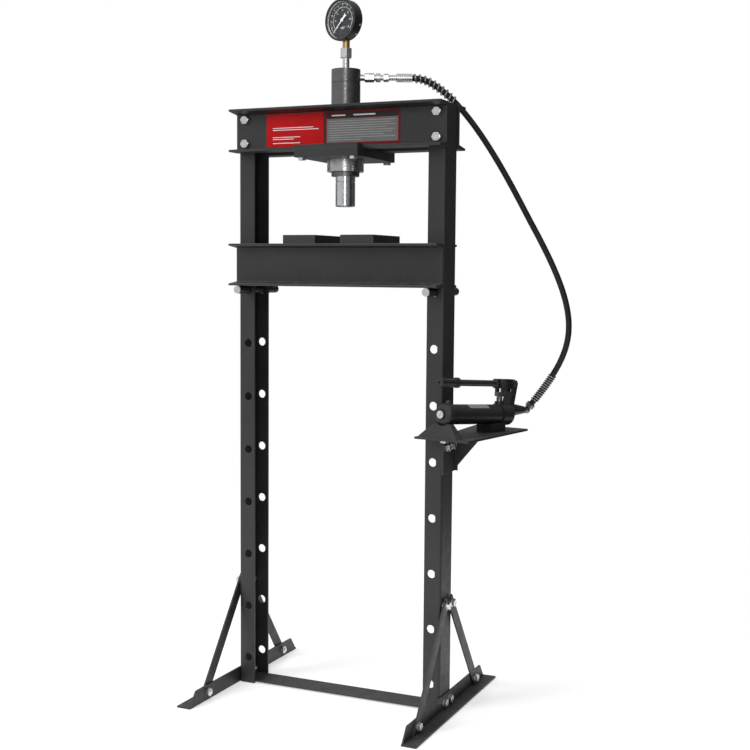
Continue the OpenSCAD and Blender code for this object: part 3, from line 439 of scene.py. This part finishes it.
def hexagon(flats, z, matrix, cone=None):
    """Ring on a hexagon with a corner on +X; cone is (radius at z, slope) where a chamfer cuts it."""
    ring = []
    for i in range(HEXAGON_SIDES):
        turn = 2 * math.pi * i / HEXAGON_SIDES
        radius = flats / 2 / math.cos(turn % (math.pi / 3) - math.pi / 6)
        height = z + (radius - cone[0]) * cone[1] if cone else z
        ring.append(matrix @ Vector((radius * math.cos(turn), radius * math.sin(turn), height)))
    return ring


def add_thread(mesh, radius, low, high, matrix, pitch):
    """Screw thread drawn as rings, with a chamfered tip at low."""
    profile = [(radius * 0.8, low), (radius * 0.97, low + pitch * 0.6)]
    z = low + pitch
    while z < high:
        profile += [(radius, z), (radius * 0.89, z + pitch / 2)]
        z += pitch
    add_lathe(mesh, profile + [(radius * 0.9, high)], matrix, 36)


def rounded(profile, radius, steps=4):
    """Profile with its inner corners rounded; the first and last point stay."""
    points = [Vector(point) for point in profile]
    result = [points[0]]
    for before, corner, after in zip(points, points[1:], points[2:]):
        back, on = before - corner, after - corner
        cut = min(radius, back.length * 0.45, on.length * 0.45)
        start, end = corner + back.normalized() * cut, corner + on.normalized() * cut
        for i in range(steps + 1):
            t = i / steps
            result.append(start * (1 - t) ** 2 + corner * 2 * t * (1 - t) + end * t * t)
    result.append(points[-1])
    return [tuple(point) for point in result]


def add_box(mesh, size, matrix):
    bmesh.ops.create_cube(mesh, size=1.0, matrix=matrix @ Matrix.Diagonal((*size, 1)))


# ---------- CAD nodes that stay ----------

def dress(node, finish, bevel=0.0, edge=None):
    """Gives a CAD node its finish and rounds its edges; edge is the finish of the rounded strips."""
    thing = NODES[node]
    thing.data.materials.clear()
    thing.data.materials.append(FINISH[finish])
    if not bevel:
        return
    weld = thing.modifiers.new("weld", "WELD")
    weld.merge_threshold = 0.005 * MM
    flat = thing.modifiers.new("flat", "DECIMATE")
    flat.decimate_type = "DISSOLVE"
    flat.angle_limit = math.radians(0.4)
    rounding = thing.modifiers.new("edges", "BEVEL")
    rounding.width = bevel
    rounding.segments = 2
    rounding.limit_method = "ANGLE"
    rounding.angle_limit = math.radians(40)
    rounding.use_clamp_overlap = True
    if edge:
        thing.data.materials.append(FINISH[edge])
        rounding.material = 1
    shade = thing.modifiers.new("shade", "WEIGHTED_NORMAL")
    shade.keep_sharp = False


def dress_frame():
    for node in ("left_post", "right_post", "front_head_beam", "back_head_beam"):
        dress(node, "frame", 0.9 * MM, "frame_edge")
    for node in ("left_foot", "right_foot", "braces", "cross_bar", "support_plate", "clamp_bars"):
        dress(node, "frame", 0.6 * MM, "frame_edge")
    for node in ("pump_shelf", "shelf_bracket"):
        dress(node, "frame", 0.6 * MM, "frame_edge")
    for node in ("front_bed_beam", "back_bed_beam", "bed_spacers"):
        dress(node, "bed", 0.9 * MM, "frame_edge")
    for node in ("left_arbor_plate", "right_arbor_plate"):
        dress(node, "bed", 1.2 * MM, "frame_edge")
    for node in ("left_bed_pin", "right_bed_pin"):
        dress(node, "pin", 0.4 * MM)


def dress_cylinder():
    dress("cylinder_barrel", "barrel", 0.6 * MM)
    dress("cylinder_cap", "barrel", 0.8 * MM)
    dress("ring_nut", "ring", 0.7 * MM)
    dress("gland_collar", "collar", 0.8 * MM)
    dress("ram", "chrome", 0.4 * MM)
    dress("ram_nose", "chrome", 0.5 * MM)
    dress("piston", "barrel")
    dress("piston_seal", "rubber")
    dress("return_spring", "wire")


# ---------- fasteners ----------

def bolt_frame(points, longest):
    """Frame on a fastener's axis, which is its longest or its shortest way; X runs through a corner."""
    low = Vector([min(point[i] for point in points) for i in range(3)])
    high = Vector([max(point[i] for point in points) for i in range(3)])
    ways = sorted(range(3), key=lambda i: high[i] - low[i])
    axis = Vector((0, 0, 0))
    axis[ways[2] if longest else ways[0]] = 1
    origin = (low + high) / 2
    start, end = reach(points, origin, axis)
    at_end = [point for point in points if (point - origin).dot(axis) > end - 0.1 * MM]
    at_start = [point for point in points if (point - origin).dot(axis) < start + 0.1 * MM]
    if girth(at_start, origin, axis) > girth(at_end, origin, axis) + 0.1 * MM:
        axis = -axis
    corner = max(points, key=lambda point: (point - origin).cross(axis).length)
    return aimed(origin, axis, corner - origin)


def hexagon_bolts(node):
    """Machine bolts with chamfered heads and cut threads in place of a node's plain ones."""
    mesh = bmesh.new()
    for points in solids(node):
        place = bolt_frame(points, True)
        local = [place.inverted() @ point for point in points]
        corner = max(point.xy.length for point in local)
        head = [point.z for point in local if point.xy.length > corner * 0.97]
        shank_end = min(point.z for point in local)
        shank = max(point.xy.length for point in local if point.z < shank_end + 0.1 * MM)
        seat, top = min(head), max(head)
        flats = corner * math.sqrt(3)
        crest = flats * CREST_SHARE
        add_rings(mesh, [
            circle(flats * 0.44, seat, HEXAGON_SIDES, place),
            hexagon(flats, seat + 0.15 * MM, place),
            hexagon(flats, top, place, (crest, -CHAMFER_SLOPE)),
            circle(crest, top, HEXAGON_SIDES, place),
            circle(crest * 0.8, top, HEXAGON_SIDES, place),
            circle(crest * 0.74, top - 0.35 * MM, HEXAGON_SIDES, place),
        ])
        add_thread(mesh, shank, shank_end, seat, place, shank * 0.29)
    piece(node + "_cut", mesh, "zinc", "frame", [node], 28)


def hexagon_nuts(node):
    """Nuts chamfered on both faces in place of a node's plain ones."""
    mesh = bmesh.new()
    for points in solids(node):
        place = bolt_frame(points, False)
        local = [place.inverted() @ point for point in points]
        corner = max(point.xy.length for point in local)
        bore = min(point.xy.length for point in local)
        low, high = min(point.z for point in local), max(point.z for point in local)
        flats = corner * math.sqrt(3)
        crest = flats * CREST_SHARE
        add_rings(mesh, [
            circle(bore, low + 0.6 * MM, HEXAGON_SIDES, place),
            circle(bore * 1.1, low, HEXAGON_SIDES, place),
            circle(crest, low, HEXAGON_SIDES, place),
            hexagon(flats, low, place, (crest, CHAMFER_SLOPE)),
            hexagon(flats, high, place, (crest, -CHAMFER_SLOPE)),
            circle(crest, high, HEXAGON_SIDES, place),
            circle(bore * 1.1, high, HEXAGON_SIDES, place),
            circle(bore, high - 0.6 * MM, HEXAGON_SIDES, place),
        ], loop=True)
    piece(node + "_cut", mesh, "zinc", "frame", [node], 28)


# ---------- gauge ----------

def turned_gauge():
    """Pressed case with a rounded back, a rolled bezel and a pale retaining ring behind the glass."""
    origin = GAUGE.translation
    lathe = aimed(origin, GAUGE_BACK, UP)
    radius = girth(corners("gauge_case"), origin, GAUGE_BACK)
    front, back = reach(corners("gauge_case"), origin, GAUGE_BACK)
    wall = 1.5 * MM
    mesh = bmesh.new()
    outer = rounded([
        (radius - wall, front), (radius, front), (radius, back - 6 * MM), (radius - 5 * MM, back),
        (radius * 0.45, back), (radius * 0.42, back - 1 * MM), (0, back - 1 * MM),
    ], 3.5 * MM)
    inner = [(0, back - 2.4 * MM), (radius - 8 * MM, back - 2.4 * MM), (radius - wall, back - 9 * MM)]
    add_lathe(mesh, inner + outer, lathe, GAUGE_SIDES)
    piece("gauge_shell", mesh, "case", "frame", ["gauge_case"])

    rim = girth(corners("gauge_bezel"), origin, GAUGE_BACK)
    window = min((point - origin).cross(GAUGE_BACK).length for point in corners("gauge_bezel"))
    lip, skirt = reach(corners("gauge_bezel"), origin, GAUGE_BACK)
    mesh = bmesh.new()
    add_lathe(mesh, rounded([
        (window, lip + 1.5 * MM), (window + 0.4 * MM, lip + 0.9 * MM), (window + 2.6 * MM, lip),
        (rim - 1.2 * MM, lip), (rim, lip + 2.4 * MM), (rim, skirt), (radius + 0.05 * MM, skirt),
        (radius + 0.05 * MM, lip + 1.5 * MM), (window, lip + 1.5 * MM),
    ], 1.1 * MM, 3)[:-1], lathe, GAUGE_SIDES, loop=True)
    piece("gauge_rim", mesh, "case", "frame", ["gauge_bezel"])

    glass_back = reach(corners("gauge_glass"), origin, GAUGE_BACK)[1]
    mesh = bmesh.new()
    add_lathe(mesh, [
        (window - 0.3 * MM, glass_back + 5 * MM), (window + 1.2 * MM, glass_back + 5 * MM),
        (window + 1.2 * MM, glass_back), (window - 0.3 * MM, glass_back),
    ], lathe, GAUGE_SIDES, loop=True)
    piece("gauge_retainer", mesh, "retainer", "frame")

    mesh = bmesh.new()
    for turn in (-18, -46):
        angle = math.radians(turn)
        out = GAUGE.to_3x3() @ Vector((math.cos(angle), 0, math.sin(angle)))
        seat = origin + GAUGE_BACK * (back - 11 * MM) + out * (radius - 0.4 * MM)
        add_lathe(mesh, [
            (2.6 * MM, 0), (2.6 * MM, 0.7 * MM), (2.1 * MM, 1.2 * MM),
            (1.1 * MM, 1.5 * MM), (0, 1.6 * MM),
        ], aimed(seat, out), 24)
    piece("gauge_screws", mesh, "zinc", "frame")


def printed_dial():
    """Scale of the gauge: two rings of marks and plain numbers over 270 degrees."""
    origin = GAUGE.translation
    face = reach(corners("gauge_dial"), origin, GAUGE_BACK)[0] - 0.12 * MM
    radius = girth(corners("gauge_dial"), origin, GAUGE_BACK)
    ink = 0.1 * MM
    mesh = bmesh.new()

    def mark(turn, start, end, width):
        angle = math.radians(turn)
        middle_r = (start + end) / 2
        spot = Matrix.Translation((middle_r * math.cos(angle), face, middle_r * math.sin(angle)))
        add_box(mesh, (end - start, ink, width), GAUGE @ spot @ Matrix.Rotation(-angle, 4, "Y"))

    def arc(middle_r, width, first, last, step=3):
        for turn in range(first, last, step):
            rings = []
            for angle in (math.radians(turn), math.radians(turn + step)):
                rings.append([
                    GAUGE @ Vector((r * math.cos(angle), y, r * math.sin(angle)))
                    for r, y in ((middle_r - width / 2, face), (middle_r + width / 2, face),
                                 (middle_r + width / 2, face - ink), (middle_r - width / 2, face - ink))
                ])
            add_rings(mesh, rings)

    first, sweep = 225, 270
    outer, inner, numbers = radius * 0.86, radius * 0.66, radius * 0.5
    fine, coarse = 60, 30
    for i in range(fine + 1):
        start, width = (0.74, 1.2) if i % 5 == 0 else (0.81, 0.5)
        mark(first - sweep * i / fine, radius * start, outer, width * MM)
    arc(outer, 0.4 * MM, first - sweep, first)
    arc(inner, 0.8 * MM, first - sweep, first)
    for i in range(coarse + 1):
        mark(first - sweep * i / coarse, radius * (0.6 if i % 5 == 0 else 0.63), inner, 0.5 * MM)
    for i in range(7):
        angle = math.radians(first - sweep * i / 6)
        letters = bpy.data.curves.new("number", "FONT")
        letters.body = str(2 * i)
        letters.size = 6.5 * MM
        letters.align_x, letters.align_y = "CENTER", "CENTER"
        letters.extrude = ink / 2
        shown = bpy.data.objects.new("number", letters)
        data = bpy.data.meshes.new_from_object(shown)
        at = Vector((numbers * math.cos(angle), face, numbers * math.sin(angle)))
        data.transform(GAUGE @ axes(at, Vector((1, 0, 0)), Vector((0, 0, 1)), Vector((0, -1, 0))))
        mesh.from_mesh(data)
        bpy.data.objects.remove(shown)
    piece("dial_marks", mesh, "marks", "frame")

    mesh = bmesh.new()
    for width, drop in ((14, 0.36), (9, 0.43)):
        spot = Matrix.Translation((0, face, -radius * drop))
        add_box(mesh, (width * MM, ink, 1.1 * MM), GAUGE @ spot)
    piece("dial_bars", mesh, "marks", "frame")


# ---------- hose ----------

def hose_line():
    """Middle line and radius of the CAD hose, upper end first; its rings are found edge by edge."""
    way = (middle("upper_hose_fitting") - middle("port_adapter")).normalized()
    mesh = bmesh.new()
    mesh.from_mesh(NODES["hose"].data)
    bmesh.ops.remove_doubles(mesh, verts=mesh.verts, dist=WELD_GAP)
    first = min(vertex.co.dot(way) for vertex in mesh.verts)
    ring = [vertex for vertex in mesh.verts if vertex.co.dot(way) < first + 0.05 * MM]
    seen = set(ring)
    line = []
    radii = []
    while ring:
        line.append(sum((vertex.co for vertex in ring), Vector()) / len(ring))
        radii.append(max((vertex.co - line[-1]).length for vertex in ring))
        found = []
        for vertex in ring:
            for edge in vertex.link_edges:
                other = edge.other_vert(vertex)
                if other not in seen:
                    seen.add(other)
                    found.append(other)
        ring = found
    mesh.free()
    return line, sorted(radii)[len(radii) // 2]


def smoothed(line, step):
    """Points at an even step along a curve through the given ones."""
    parts = 8
    dense = []
    for i in range(len(line) - 1):
        a, b, c, d = line[max(i - 1, 0)], line[i], line[i + 1], line[min(i + 2, len(line) - 1)]
        for k in range(parts):
            t = k / parts
            dense.append(0.5 * (2 * b + (c - a) * t + (2 * a - 5 * b + 4 * c - d) * t * t
                                + (3 * b - a - 3 * c + d) * t ** 3))
    dense.append(line[-1])
    result, length, wanted = [dense[0]], 0.0, step
    for before, after in zip(dense, dense[1:]):
        part = (after - before).length
        while part and wanted <= length + part:
            result.append(before.lerp(after, (wanted - length) / part))
            wanted += step
        length += part
    return result


def hose_and_guards():
    """Smooth rubber hose and two wire coils around its ends."""
    line_step = 3 * MM
    coil_sides = 20
    pitch_in_wires = 2.5
    rings, radius = hose_line()
    line = smoothed(rings, line_step)
    mesh = bmesh.new()
    add_tube(mesh, line, radius, 32)
    piece("hose_smooth", mesh, "rubber", "frame", ["hose"], 60)

    mesh = bmesh.new()
    for points in solids("spring_guards"):
        sample = points[::7]
        nearest = [min(range(len(line)), key=lambda k: (line[k] - point).length) for point in sample]
        start, end = min(nearest), max(nearest)
        gaps = [(line[k] - point).length for k, point in zip(nearest, sample)]
        outer, inner = max(gaps), min(gaps)
        wire = (outer - inner) / 2 * 1.05
        coil = outer - wire
        turns = round((end - start) * line_step / (wire * 2 * pitch_in_wires))
        steps = turns * coil_sides
        path = []
        side = Vector((0.1, 1, 0.2))
        for i in range(steps + 1):
            place = start + (end - start) * i / steps
            k = min(int(place), len(line) - 2)
            point = line[k].lerp(line[k + 1], place - k)
            ahead = (line[k + 1] - line[k]).normalized()
            side = (side - ahead * side.dot(ahead)).normalized()
            turn = 2 * math.pi * i / coil_sides
            path.append(point + coil * (math.cos(turn) * side + math.sin(turn) * ahead.cross(side)))
        add_tube(mesh, path, wire, 8)
    piece("guard_coils", mesh, "wire", "frame", ["spring_guards"], 60)


# ---------- pump ----------

def pump_details():
    """Cast end cap, filler plug with a socket, and a plain plate on the tube."""
    lathe = aimed(TUBE_MIDDLE, -PUMP_ALONG, PUMP_UP)
    tube = girth(corners("reservoir_tube"), TUBE_MIDDLE, PUMP_ALONG)
    back, front = reach(corners("reservoir_cap"), TUBE_MIDDLE, -PUMP_ALONG)
    face_at = TUBE_MIDDLE - PUMP_ALONG * (front - 0.1 * MM)
    face = [point for point in corners("reservoir_cap") if (point - face_at).dot(PUMP_ALONG) < 0]
    cap = girth(face, TUBE_MIDDLE, PUMP_ALONG)
    mesh = bmesh.new()
    add_lathe(mesh, rounded([
        (0, front - 1 * MM), (cap * 0.42, front - 1 * MM), (cap * 0.44, front), (cap * 0.72, front),
        (cap, front - 6.5 * MM), (cap, front - 17 * MM), (cap * 0.965, front - 22 * MM),
        (tube + 0.3 * MM, back + 1 * MM), (tube - 0.8 * MM, back),
    ], 5 * MM, 6), lathe, 80)
    top_high = reach(corners("reservoir_cap"), TUBE_MIDDLE, PUMP_UP)[1]
    boss_at = TUBE_MIDDLE - PUMP_ALONG * (back + (front - back) * 0.36)
    boss = aimed(boss_at, PUMP_UP, PUMP_ALONG)
    add_lathe(mesh, rounded([
        (8.5 * MM, cap * 0.6), (8.2 * MM, cap - 1 * MM), (7 * MM, cap + 1 * MM),
        (6.4 * MM, top_high - 0.6 * MM), (0, top_high - 0.6 * MM),
    ], 2.5 * MM, 5), boss, 40)
    piece("cap_casting", mesh, "pump", "frame", ["reservoir_cap"], 50)
    mesh = bmesh.new()
    add_lathe(mesh, rounded([
        (2.4 * MM, top_high - 0.9 * MM), (2.4 * MM, top_high - 0.2 * MM), (0, top_high),
    ], 0.8 * MM), boss, 24)
    piece("vent_stud", mesh, "zinc", "frame")

    seat, nose = reach(corners("filler_plug"), TUBE_MIDDLE, -PUMP_ALONG)
    plug = girth(corners("filler_plug"), TUBE_MIDDLE, PUMP_ALONG)
    mesh = bmesh.new()
    add_lathe(mesh, rounded([
        (0, nose - 3.4 * MM), (plug * 0.36, nose - 3.2 * MM), (plug * 0.36, nose - 0.6 * MM),
        (plug * 0.46, nose - 0.4 * MM), (plug * 0.52, nose - 1.1 * MM), (plug * 0.62, nose - 0.9 * MM),
        (plug * 0.68, nose), (plug * 0.9, nose), (plug, nose - 1.4 * MM), (plug, nose - 6.5 * MM),
        (plug * 0.8, nose - 8 * MM), (0, nose - 8 * MM),
    ], 0.6 * MM, 3), lathe, 48)
    piece("plug_turned", mesh, "zinc", "frame", ["filler_plug"], 40)

    mesh = bmesh.new()
    low, high = reach(corners("reservoir_tube"), TUBE_MIDDLE, -PUMP_ALONG)
    near, far = low + (high - low) * 0.22, low + (high - low) * 0.62
    under, over = tube + 0.05 * MM, tube + 0.35 * MM
    rows = []
    for degrees in range(-48, -11, 3):
        turn = math.radians(degrees)
        rows.append([
            lathe @ Vector((r * math.cos(turn), r * math.sin(turn), z))
            for r, z in ((under, near), (under, far), (over, far), (over, near))
        ])
    add_rings(mesh, rows)
    piece("tube_plate", mesh, "label_pale", "frame")


# ---------- label ----------

def label_fields():
    """Plain colour fields and bars on the front plate; it carries no words."""
    low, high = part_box("front_label")
    width, height = high.x - low.x, high.z - low.z

    def field(mesh, left, right, bottom, top, lift):
        across, up = width * (left + right) / 2, height * (bottom + top) / 2
        centre = Vector((low.x + across, low.y - lift / 2, low.z + up))
        size = (width * (right - left), lift, height * (top - bottom))
        add_box(mesh, size, Matrix.Translation(centre))

    mesh = bmesh.new()
    field(mesh, 0, 0.437, 0, 1, 0.1 * MM)
    piece("label_red_field", mesh, "label_red", "frame")
    mesh = bmesh.new()
    field(mesh, 0.437, 0.447, 0, 1, 0.12 * MM)
    field(mesh, 0.462, 0.985, 0.80, 0.95, 0.12 * MM)
    piece("label_black_field", mesh, "label_black", "frame")
    mesh = bmesh.new()
    field(mesh, 0.462, 0.985, 0.07, 0.78, 0.12 * MM)
    piece("label_grey_field", mesh, "label_grey", "frame")
    mesh = bmesh.new()
    for bottom, right in ((0.56, 0.36), (0.50, 0.40), (0.28, 0.26), (0.22, 0.21), (0.10, 0.26)):
        field(mesh, 0.05, right, bottom, bottom + 0.022, 0.16 * MM)
    for left, right in ((0.50, 0.60), (0.66, 0.82)):
        field(mesh, left, right, 0.855, 0.895, 0.16 * MM)
    piece("label_white_bars", mesh, "label_white", "frame")
    mesh = bmesh.new()
    shares = (0.965, 0.93, 0.965, 0.9, 0.96, 0.94, 0.88, 0.965, 0.72)
    for i, right in enumerate(shares):
        field(mesh, 0.475, right, 0.70 - 0.07 * i, 0.714 - 0.07 * i, 0.16 * MM)
    piece("label_grey_bars", mesh, "label_pale", "frame")


# ---------- finishes of the CAD nodes ----------

def dress_gauge():
    dress("gauge_adapter", "zinc", 0.6 * MM)
    dress("gauge_stem", "brass", 0.3 * MM)
    dress("gauge_case", "case")
    dress("gauge_bezel", "case")
    dress("gauge_glass", "glass")
    dress("gauge_dial", "dial")
    dress("gauge_needle", "marks")
    dress("bourdon_tube", "brass")


def dress_hose():
    for node in ("port_adapter", "upper_hose_fitting"):
        dress(node, "zinc", 0.5 * MM)
    for node in ("lower_hose_nut", "outlet_elbow"):
        dress(node, "collar", 0.5 * MM)
    dress("hose", "rubber")
    dress("spring_guards", "wire")


def dress_pump():
    dress("reservoir_tube", "pump", 0.4 * MM, "pump_edge")
    dress("reservoir_cap", "pump")
    dress("pump_head", "pump", 1.2 * MM, "pump_edge")
    dress("pump_stands", "pump", 1.2 * MM, "pump_edge")
    dress("pump_lever", "pump", 0.8 * MM, "pump_edge")
    dress("filler_plug", "zinc")
    dress("plunger", "collar", 0.6 * MM)
    dress("plunger_pin", "collar", 0.4 * MM)
    dress("fulcrum_pin", "collar", 0.4 * MM)
    dress("release_valve", "zinc", 0.3 * MM)
    dress("suction_ball", "chrome")
    dress("delivery_ball", "chrome")


def dress_fasteners():
    dress("washers", "zinc", 0.4 * MM)
    for node in ("m12_bolts", "m12_nuts", "m10_bolts", "m10_nuts"):
        dress(node, "zinc")
    dress("front_label", "label_dark_red")


# ---------- stage ----------

def studio_floor():
    """Pale floor that fades into the backdrop away from the press."""
    size = 8.0
    mesh = bmesh.new()
    bmesh.ops.create_circle(mesh, cap_ends=True, radius=size, segments=96)
    data = bpy.data.meshes.new("studio_floor")
    mesh.to_mesh(data)
    mesh.free()
    floor = bpy.data.objects.new("studio_floor", data)
    floor.location = (0, 0, cad_box[0].z - 0.3 * MM)
    bpy.context.scene.collection.objects.link(floor)
    f = Finish("pale_floor")
    tone = f.blend(f.spread(f.noise(3, 3), 0, 1), (0.60, 0.60, 0.60), (0.63, 0.63, 0.63))
    lit = f.add("ShaderNodeBsdfDiffuse", {"Color": tone}).outputs[0]
    glow = f.add("ShaderNodeEmission", {"Color": (1, 1, 1, 1), "Strength": 0.42}).outputs[0]
    solid = f.add("ShaderNodeAddShader", {0: lit, 1: glow}).outputs[0]
    clear = f.add("ShaderNodeBsdfTransparent").outputs[0]
    away = f.add("ShaderNodeVectorMath", {0: f.place}, operation="LENGTH").outputs["Value"]
    inputs = {"Value": away, "From Min": 0.9, "From Max": 2.6}
    fade = f.add("ShaderNodeMapRange", inputs, interpolation_type="SMOOTHSTEP").outputs[0]
    f.output(f.add("ShaderNodeMixShader", {0: fade, 1: solid, 2: clear}).outputs[0])
    data.materials.append(f.material)


def studio_world():
    """White backdrop for the camera; for the press, soft light, stronger from the left and above."""
    world = bpy.data.worlds.new("studio")
    bpy.context.scene.world = world
    world.use_nodes = True
    tree = world.node_tree
    tree.nodes.clear()

    def add(kind, inputs=None, **settings):
        return add_node(tree, kind, inputs, **settings)

    bright_side = (-0.62, -0.45, 0.64)
    direction = add("ShaderNodeTexCoord").outputs["Generated"]
    toward = add("ShaderNodeVectorMath", {0: direction, 1: bright_side}, operation="DOT_PRODUCT")
    ramp = add("ShaderNodeMapRange", {
        "Value": toward.outputs["Value"],
        "From Min": -0.6, "From Max": 1.0, "To Min": 0.07, "To Max": 0.75,
    })
    soft = add("ShaderNodeBackground", {"Color": (1, 1, 1, 1), "Strength": ramp.outputs[0]})
    white = add("ShaderNodeBackground", {"Color": (1, 1, 1, 1), "Strength": 1.0})
    path = add("ShaderNodeLightPath").outputs["Is Camera Ray"]
    mix = add("ShaderNodeMixShader", {0: path, 1: soft.outputs[0], 2: white.outputs[0]})
    add("ShaderNodeOutputWorld", {"Surface": mix.outputs[0]})


def softbox(name, place, aim, size, power, mirrored=False):
    data = bpy.data.lights.new(name, "AREA")
    data.shape = "RECTANGLE"
    data.size, data.size_y = size
    data.energy = power
    lamp = bpy.data.objects.new(name, data)
    lamp.visible_glossy = mirrored
    lamp.location = place
    lamp.rotation_euler = (Vector(aim) - Vector(place)).to_track_quat("-Z", "Y").to_euler()
    bpy.context.scene.collection.objects.link(lamp)


def studio_lights():
    waist = (0, 0, 0.9)
    softbox("key_softbox", (-2.3, -2.9, 2.3), waist, (1.6, 2.4), 120)
    softbox("top_softbox", (0.0, -0.4, 3.6), (0, 0, 0.5), (2.4, 2.0), 55)
    softbox("strip_softbox", (1.2, -3.2, 1.6), (0, 0, 1.2), (0.34, 2.4), 17, True)
    softbox("back_softbox", (-1.6, 3.0, 2.4), waist, (1.4, 2.0), 30)


def studio_camera():
    """Stands to the right of the press's front and looks slightly down on it."""
    place = Vector((1.29135, -2.70741, 1.02175))
    yaw, down, roll = 0.4206, 0.0822, 0.0078
    ahead = Vector((-math.sin(yaw) * math.cos(down), math.cos(yaw) * math.cos(down), -math.sin(down)))
    right = Vector((math.cos(yaw), math.sin(yaw), 0))
    top = right.cross(ahead)
    turned_right = right * math.cos(roll) + top * math.sin(roll)
    turned_top = top * math.cos(roll) - right * math.sin(roll)
    data = bpy.data.cameras.new("camera")
    data.sensor_width = 36
    data.lens = 60.58
    camera = bpy.data.objects.new("camera", data)
    camera.matrix_world = axes(place, turned_right, turned_top, -ahead)
    bpy.context.scene.collection.objects.link(camera)
    bpy.context.scene.camera = camera
    bpy.context.scene.view_settings.view_transform = "Standard"


# ---------- build ----------

dress_frame()
dress_cylinder()
dress_gauge()
dress_hose()
dress_pump()
dress_fasteners()

hexagon_bolts("m12_bolts")
hexagon_bolts("m10_bolts")
hexagon_nuts("m12_nuts")
hexagon_nuts("m10_nuts")
turned_gauge()
printed_dial()
hose_and_guards()
pump_details()
label_fields()

studio_floor()
studio_world()
studio_lights()
studio_camera()
